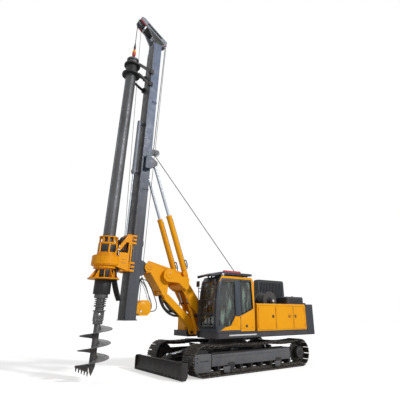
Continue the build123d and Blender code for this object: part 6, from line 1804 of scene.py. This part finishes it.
# ---------------------------------------------------------------- drive, Kelly bar and auger
@dataclass
class Drive:
    """Bolts, covers, pipes and guards of the rotary drive and its carriage."""

    axis_x: float = 4.65
    motor: Pair = (4.29, 0.19)

    def build(self) -> None:
        """Builds the fittings of the drive."""
        self.gear_housing()
        self.motor_trim()
        self.carriage()
        self.pipes()

    def gear_housing(self) -> None:
        """Bolt circles, posts, sleeves and ring strips of the gear housing."""
        x = self.axis_x
        bolts = Repeats("gear_bolts", Body.DRIVE, Finishes.BOLT)
        for z, radius, count in ((3.270, 0.345, 20), (2.628, 0.432, 24), (3.84, 0.262, 10)):
            bolts.ring(bolt(0.013), (x, 0.0, z), "+z", radius, count, 0.13)
        bolts.done()
        posts = Repeats("drive_posts", Body.DRIVE, Finishes.DRIVE_YELLOW)
        post = blocks("drive_post", [((-0.022, 0.022), (-0.022, 0.022), (0.0, 0.34))], 0.004)
        posts.ring(post, (x, 0.0, 3.29), "+z", 0.276, 6, 0.35).done()
        Piece("sleeve_cover", Body.DRIVE, Finishes.SOOT).lathe((x, 0.0, 2.40), "+z", (
            (-0.204, 0.203), (-0.204, 0.239), (0.195, 0.239), (0.195, 0.232), (-0.199, 0.232), (-0.199, 0.203),
            (-0.204, 0.203),
        ), 48).band((x, 0.0, 2.75), -0.12, 0.112, 0.252, 0.259).done()
        strips = Piece("gear_strips", Body.DRIVE, Finishes.DRIVE_YELLOW, 0.003)
        for z in (3.24, 3.02):
            strips.band((x, 0.0, z), -0.012, 0.012, 0.394, 0.414, 56)
        strips.done()
        seal = Piece("drive_seal", Body.DRIVE, Finishes.CHARCOAL_PLASTIC)
        seal.band((x, 0.0, 3.48), -0.11, 0.11, 0.258, 0.268).done()

    def motor_trim(self) -> None:
        """Caps, ports and flange bolts of the two hydraulic motors."""
        x, reach = self.motor
        caps = Piece("motor_caps", Body.DRIVE, Finishes.CHARCOAL_PLASTIC, 0.003)
        ports = Piece("motor_ports", Body.DRIVE, Finishes.STEEL)
        bolts = Repeats("motor_bolts", Body.DRIVE, Finishes.BOLT)
        for y in (reach, -reach):
            profile = ((-0.002, 0.0), (-0.002, 0.056), (0.018, 0.050), (0.026, 0.030), (0.026, 0.0))
            caps.lathe((x, y, 3.76), "+z", profile, 18)
            for z in (3.50, 3.58):
                ports.rod((x, y, z), (x - 0.085, y, z), 0.018, 10)
            bolts.ring(bolt(0.009), (x, y, 3.43), "+z", 0.0565, 8)
        caps.done()
        ports.done()
        bolts.done()

    @staticmethod
    def carriage() -> None:
        """Edge flanges, bolts, slots with painted shade and wear pads of the carriage."""
        edge = Piece("carriage_edges", Body.DRIVE, Finishes.DRIVE_YELLOW, 0.003)
        edge.boxes((4.02, 4.06), (0.314, 0.325), (2.87, 3.93))
        edge.plates(((4.12, 3.93), (4.16, 3.93), (4.59, 3.275), (4.545, 3.275)), 0.314, 0.325)
        edge.plates(((4.06, 2.87), (4.12, 2.87), (4.60, 3.005), (4.56, 3.035)), 0.314, 0.325).done()
        bolts = Repeats("carriage_bolts", Body.DRIVE, Finishes.BOLT)
        pads = Piece("carriage_pads", Body.DRIVE, Finishes.STEEL)
        for side, _, axis in SIDES:
            y = side * 0.315
            for x, z in ((4.14, 3.075), (4.14, 3.175), (4.49, 3.075), (4.49, 3.175)):
                bolts.row(bolt(0.011), (x, y, z), (x + 0.13, y, z), 4, axis)
            bolts.row(bolt(0.010), (4.005, y, 3.15), (4.005, y, 3.85), 7, axis)
            for z in (2.98, 3.80):
                pads.rod((3.99, side * 0.343, z - 0.04), (3.99, side * 0.343, z + 0.04), 0.012, 8)
        bolts.done()
        # painted shade: thin dark strips that stand for the shade inside the carriage's slots
        slots = Piece("carriage_slots", Body.DRIVE, Finishes.CHARCOAL_PLASTIC, 0.001)
        slots.boxes((4.040, 4.062), (0.3245, 0.3265), (3.10, 3.62)).done()
        pads.done()

    def pipes(self) -> None:
        """Hoses and their fittings that ride on the carriage."""
        lower = ((4.21, 0.19, 3.50), (4.15, 0.19, 3.50), (4.13, 0.20, 3.42), (4.10, 0.21, 3.36))
        upper = ((4.21, 0.19, 3.58), (4.14, 0.19, 3.60), (4.10, 0.20, 3.75), (4.10, 0.21, 3.89))
        for side, name, _ in SIDES:
            for label, route, bend in (("motor_hose", lower, 0.03), ("motor_hose_upper", upper, 0.04)):
                path = bent([(x, side * y, z) for x, y, z in route], bend)
                strand(f"{label}_{name}", Body.DRIVE, Finishes.RUBBER, path, 0.015)
        for index, (y, thick) in enumerate(((0.22, 0.024), (0.16, 0.022), (0.10, 0.022), (0.04, 0.020))):
            x = 4.26 + 0.02 * index
            route = ((x + 0.12, y, 2.93), (x + 0.10, y, 2.62), (x - 0.02, y + 0.01, 2.25),
                     (x - 0.13, y + 0.02, 2.02))
            strand(f"drive_hose_{index}", Body.DRIVE, Finishes.RUBBER, bent(route, 0.18), thick)
        fittings = Repeats("motor_fittings", Body.DRIVE, Finishes.CHARCOAL_PLASTIC)
        rows = [((-0.03, 0.03), (-0.04, 0.04), (-0.02, 0.05)), ((-0.05, 0.05), (-0.015, 0.015), (0.0, 0.03))]
        x, reach = self.motor
        spots = [((x + dx, side * reach, 3.785), (0.0, 0.0, turn))
                 for side in (1, -1) for dx, turn in ((0.0, 0.3), (0.03, 1.4))]
        fittings.spots(blocks("motor_fitting", rows, 0.004), spots).done()


@dataclass
class Kelly:
    """Drive ribs, guide trim and auger of the Kelly bar."""

    axis_x: float = 4.65
    foot: float = 0.40
    pitch: float = 0.355
    start: float = -19.1

    def build(self) -> None:
        """Builds the fittings of Kelly guide, Kelly bar and auger."""
        self.bar()
        self.guide()
        self.auger()
        self.auger_trim()

    def bar(self) -> None:
        """Long drive ribs, pin and weld seams on the Kelly bar."""
        ribs = Piece("kelly_ribs", Body.KELLY, Finishes.STEEL, 0.0015)
        middle = Vector((self.axis_x, 0.0))
        for turn in (math.radians(18 + step * 60) for step in range(6)):
            outward = Vector((math.cos(turn), math.sin(turn)))
            across = Vector((-outward.y, outward.x)) * 0.018
            foot, face = middle + outward * 0.186, middle + outward * 0.1935
            outline = (foot - across, face - across * 0.9, face + across * 0.9, foot + across)
            ribs.prism(outline, "z", 2.25, 9.93)
        ribs.done()
        pin = Piece("kelly_box_pin", Body.KELLY, Finishes.LAMP, 0.001)
        profile = ((0.0, 0.0), (0.0, 0.034), (0.012, 0.030), (0.016, 0.0))
        pin.lathe((4.67, 0.114, 1.655), "+y", profile, 18).done()
        seams = Piece("kelly_seams", Body.KELLY, Finishes.STEEL, 0.001)
        for z in (2.30, 2.36):
            seams.band((self.axis_x, 0.0, z), -0.008, 0.008, 0.18, 0.192, 40)
        seams.done()

    def guide(self) -> None:
        """Arm plates and bolts of the Kelly guide."""
        arms = Piece("guide_arm_plates", Body.KELLY_GUIDE, Finishes.SOOT, 0.003)
        arms.plates(((4.50, 10.50), (4.02, 10.42), (4.02, 10.26), (4.50, 10.36)), 0.280, 0.300)
        arms.plates(((4.46, 10.06), (4.02, 9.84), (4.02, 9.70), (4.46, 9.95)), 0.280, 0.300).done()
        bolts = Repeats("guide_bolts", Body.KELLY_GUIDE, Finishes.BOLT)
        for z, radius in ((10.48, 0.262), (10.04, 0.290)):
            bolts.ring(bolt(0.011), (self.axis_x, 0.0, z), "+z", radius, 12, 0.1)
        bolts.done()

    def auger(self) -> None:
        """Auger with its screw and toothed end plate, in place of the CAD node."""
        x, foot = self.axis_x, self.foot
        screw = Piece("auger_screw", Body.KELLY, Finishes.AUGER)
        screw.box((x - 0.105, x + 0.105), (-0.105, 0.105), (1.40, 1.495))
        screw.rod((x, 0.0, 0.36), (x, 0.0, 1.402), 0.085, 28)
        point = ((0.0, 0.0), (0.0, 0.008), (0.10, 0.050), (0.21, 0.084), (0.21, 0.0))
        screw.lathe((x, 0.0, 0.16), "+z", point, 20)
        screw.helix(x, (0.078, 0.43), (foot, 1.38), self.pitch, self.start, 0.016)
        plates = [(((0.43, foot + 0.006), (0.43, foot - 0.03), (0.08, 0.235), (0.08, foot + 0.006)), 0.018)]
        for step in range(5):
            out, top = 0.385 - 0.075 * step, foot - 0.045 - 0.030 * step
            tooth = ((out - 0.026, top + 0.02), (out - 0.010, top - 0.085), (out + 0.012, top - 0.085),
                     (out + 0.026, top + 0.02))
            plates.append((tooth, 0.024))
        cosine, sine = math.cos(math.radians(self.start)), math.sin(math.radians(self.start))
        for outline, half in plates:
            screw.loft([[(x + cosine * out - sine * push, sine * out + cosine * push, z) for out, z in outline]
                        for push in around(0.0, half)])
        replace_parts(screw.done(), "auger")

    def auger_trim(self) -> None:
        """Worn faces on the screw's flight tops, painted pale both for wear and for the light from above, and the
        pins of its box.
        """
        x = self.axis_x
        # pale layer on the flight tops: worn steel and painted light from above
        worn = Piece("auger_worn_faces", Body.KELLY, Finishes.WORN_AND_TOP_LIT, 0.0)
        worn.helix(x, (0.12, 0.425), (self.foot + 0.0095, 1.3895), self.pitch, self.start, 0.002).done()
        pins = Repeats("auger_pins", Body.KELLY, Finishes.BOLT)
        for axis, dx, y in (("+y", 0.0, 0.105), ("-y", 0.0, -0.105), ("+x", 0.105, 0.0), ("-x", -0.105, 0.0)):
            pins.single(bolt(0.022), [(x + dx, y, 1.4475)], axis)
        pins.done()


# ---------------------------------------------------------------- seat
@dataclass
class Seat:
    """Operator's seat: cushions in place of the plain CAD block."""

    def build(self) -> None:
        """Builds the base, the two cushions and the headrest."""
        (x0, x1), (y0, y1), (z0, z1) = Place.box("operator_seat")
        middle = (y0 + y1) / 2
        base = Piece("seat_base", Body.UPPER, Finishes.CHARCOAL_PLASTIC, 0.006)
        base.box((x0 + 0.12, x1 - 0.10), (y0 + 0.08, y1 - 0.08), (z0, z0 + 0.22))
        base.box((x0 + 0.16, x1 - 0.12), (y0 + 0.12, y1 - 0.12), (z0 + 0.20, z0 + 0.34)).done()
        self.cushion("seat_cushion", (x0 + 0.10, x1), (y0 + 0.03, y1 - 0.03), (z0 + 0.33, z0 + 0.46))
        self.cushion("seat_back", (x0, x0 + 0.14), (y0 + 0.04, y1 - 0.04), (z0 + 0.44, z1 - 0.20))
        self.cushion("seat_headrest", (x0 + 0.02, x0 + 0.12), around(middle, 0.14), (z1 - 0.19, z1))

    @staticmethod
    def cushion(name: str, x: Pair, y: Pair, z: Pair) -> None:
        """One stuffed cushion with rounded edges and a slightly domed cover."""
        shape = Shape(name)
        bmesh.ops.create_cube(shape.mesh, size=1.0)
        bmesh.ops.subdivide_edges(shape.mesh, edges=shape.mesh.edges[:], cuts=7, use_grid_fill=True)
        size = Vector([high - low for low, high in (x, y, z)])
        centre = Place.at(*((low + high) / 2 for low, high in (x, y, z)))
        edge = min(size) * 0.42
        thin = min(range(3), key=lambda i: size[i])
        for vert in shape.mesh.verts:
            spot = Vector([vert.co[i] * size[i] for i in range(3)])
            inner = Vector([max(-size[i] / 2 + edge, min(size[i] / 2 - edge, spot[i])) for i in range(3)])
            out = spot - inner
            if out.length > 1e-6:
                spot = inner + out.normalized() * min(out.length, edge)
            seam = 0.004 * math.cos(spot[(thin + 1) % 3] * math.tau / 0.11)
            spot[thin] *= 1 - abs(seam) / size[thin]
            vert.co = centre + spot
        item = handed_over(shape.shown(), Body.UPPER, Finishes.SEAT)
        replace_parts(item, "operator_seat")


# ---------------------------------------------------------------- lamps
@dataclass
class Lamps:
    """Feet of the light bar."""

    inset: float = 0.08

    def build(self) -> None:
        """Builds the two feet under the light bar."""
        (x0, x1), (y0, y1), (bottom, _) = Place.box("light_bar")
        feet = Piece("light_bar_feet", Body.UPPER, Finishes.CHARCOAL_PLASTIC, 0.003)
        for y in (y0 + self.inset, y1 - self.inset):
            feet.box(around((x0 + x1) / 2, 0.05), around(y, 0.03), (bottom - 0.02, bottom + 0.004))
        feet.done()


# ---------------------------------------------------------------- finishes of the CAD nodes
@dataclass
class Skins:
    """Which finish every CAD node gets."""

    rows: tuple[tuple[Surface, str], ...] = (
        (Finishes.YELLOW, "tank_and_locker left_housing right_housing boom link triangle aux_winch"),
        (Finishes.YELLOW, "luff_barrels mast_barrels side_door_front side_door_middle side_door_rear"),
        (Finishes.YELLOW, "right_door_front right_door_rear cab_door"),
        (Finishes.DRIVE_YELLOW, "drive_gearbox drive_carriage"),
        (Finishes.DARK, "counterweight guards_and_rails winch_frame engine_block engine_hood cooler_tower"),
        (Finishes.DECK, "main_frame"),
        (Finishes.CAB_SLATE, "cab_shell"),
        (Finishes.SOOT, "drive_motors kelly_guide blade end_wheels track_rollers"),
        (Finishes.SOOT, "track_frame_left track_frame_right"),
        (Finishes.RUBBER, "link_hose_outer link_hose_inner winch_hose_left winch_hose_right"),
        (Finishes.SLATE, "mast_head press_barrel"),
        (Finishes.MAST, "mast"),
        (Finishes.CRAWLER_GREY, "centre_frame blade_barrel"),
        (Finishes.TRACK, "track_left track_right slew_ring"),
        (Finishes.CHROME, "blade_rod luff_rods mast_rods press_rod"),
        (Finishes.AUGER, "kelly_bar auger"),
        (Finishes.STEEL, "front_sheaves rear_sheaves mid_sheave"),
        (Finishes.ROPE_PLAIN, "main_drum aux_drum"),
        (Finishes.GLASS, "cab_glass door_glass"),
        (Finishes.SEAT, "operator_seat"),
        (Finishes.LENS, "light_bar"),
        (Finishes.LAMP, "work_lamps"),
    )

    def apply(self, nodes: dict[str, Item]) -> None:
        """Puts each node's finish on its object's material slots.

        Args:
            nodes: The CAD nodes by name, as the frame gives them.
        """
        left = set(nodes)
        for finish, names in self.rows:
            for name in names.split():
                item = nodes[name]
                if not item.data.materials:
                    item.data.materials.append(None)
                for spot in item.material_slots:
                    spot.link = "OBJECT"
                    spot.material = finish.material()
                left.discard(name)
        LOG.info("finishes on %d CAD nodes, %d without", len(nodes) - len(left), len(left))


# ---------------------------------------------------------------- floor, lights and camera
@dataclass
class Studio:
    """Pale floor and backdrop, soft key light, fill light and the camera."""

    eye: Triple = (7.494, 10.554, 1.677)
    pitch: float = 23.62
    floor_grey: float = 0.92
    floor_glow: float = 0.52
    floor_half: float = 60.0

    def build(self) -> None:
        """Sets up everything that isn't part of the rig."""
        self.floor()
        self.lights()
        self.world()
        self.camera()
        bpy.context.scene.view_settings.view_transform = "Standard"

    def floor(self) -> None:
        """Large plain floor, just under the tracks."""
        half = self.floor_half
        data = bpy.data.meshes.new("floor")
        corners = ((-half, -half), (half, -half), (half, half), (-half, half))
        data.from_pydata([(x, y, -0.002) for x, y in corners], [], [(0, 1, 2, 3)])
        material = bpy.data.materials.new("pale_floor")
        material.use_nodes = True
        w = Wiring(material.node_tree)
        glow = w.math("MULTIPLY", w.add("ShaderNodeLightPath").outputs["Is Camera Ray"], self.floor_glow)
        w.feed(material.node_tree.nodes["Principled BSDF"], {
            "Base Color": (self.floor_grey,) * 3, "Roughness": 0.9, "Specular IOR Level": 0.1,
            "Emission Color": (1.0, 1.0, 1.0), "Emission Strength": glow,
        })
        data.materials.append(material)
        into("floor", data)

    @staticmethod
    def lights() -> None:
        """Soft sun from the rig's left and above, and a wide fill from the front."""
        rows = (("key", 2.05, 7.0, (-0.30, 0.90, 0.48)), ("fill", 0.16, 60.0, (0.95, 0.10, 0.25)))
        for name, power, spread, toward in rows:
            light = bpy.data.lights.new(name, "SUN")
            light.energy, light.angle = power, math.radians(spread)
            lamp = into(name, light)
            lamp.rotation_euler = Vector(toward).to_track_quat("Z", "Y").to_euler()

    @staticmethod
    def world() -> None:
        """White to the camera, dimmer to the surfaces that it lights."""
        world = bpy.data.worlds.new("studio")
        world.use_nodes = True
        world.node_tree.nodes.clear()
        w = Wiring(world.node_tree)
        rays = w.add("ShaderNodeLightPath").outputs
        seen = w.math("MAXIMUM", rays["Is Glossy Ray"], rays["Is Transmission Ray"])
        seen = w.math("MAXIMUM", rays["Is Camera Ray"], seen)
        strength = w.ramp(seen, 0.0, 1.0, 0.30, 1.0)
        shade = w.add("ShaderNodeBackground", {"Color": (1.0, 1.0, 1.0), "Strength": strength})
        w.add("ShaderNodeOutputWorld", {"Surface": shade.outputs[0]})
        bpy.context.scene.world = world

    def camera(self) -> None:
        """Camera low at the rig's front left, looking up at it."""
        data = bpy.data.cameras.new("camera")
        data.lens, data.sensor_width, data.shift_x, data.shift_y = 30.71, 36.0, -0.06225, -0.089
        data.clip_end = 500.0
        camera = into("camera", data)
        pitch = math.radians(self.pitch)
        forward = Vector((-0.6134 * math.cos(pitch), -0.7898 * math.cos(pitch), math.sin(pitch)))
        camera.location = self.eye
        camera.rotation_euler = forward.to_track_quat("-Z", "Y").to_euler()
        bpy.context.scene.camera = camera


def main() -> None:
    """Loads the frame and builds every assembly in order."""
    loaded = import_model()
    Place.find()
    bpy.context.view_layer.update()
    Skins().apply(loaded["nodes"])
    assemblies = (
        *(Crawler(*side) for side in SIDES), CarBody(), Blade(), Deck(), Cab(), Seat(), Lamps(), Linkage(),
        MastDress(), Ropes(), Drive(), Kelly(),
    )
    for assembly in assemblies:
        LOG.info("building %s", type(assembly).__name__)
        assembly.build()
    for item in PATTERNS:
        bpy.data.objects.remove(item)
    Studio().build()


if __name__ == "__main__":
    logging.basicConfig(level=logging.INFO, format="%(name)s: %(message)s")
    main()
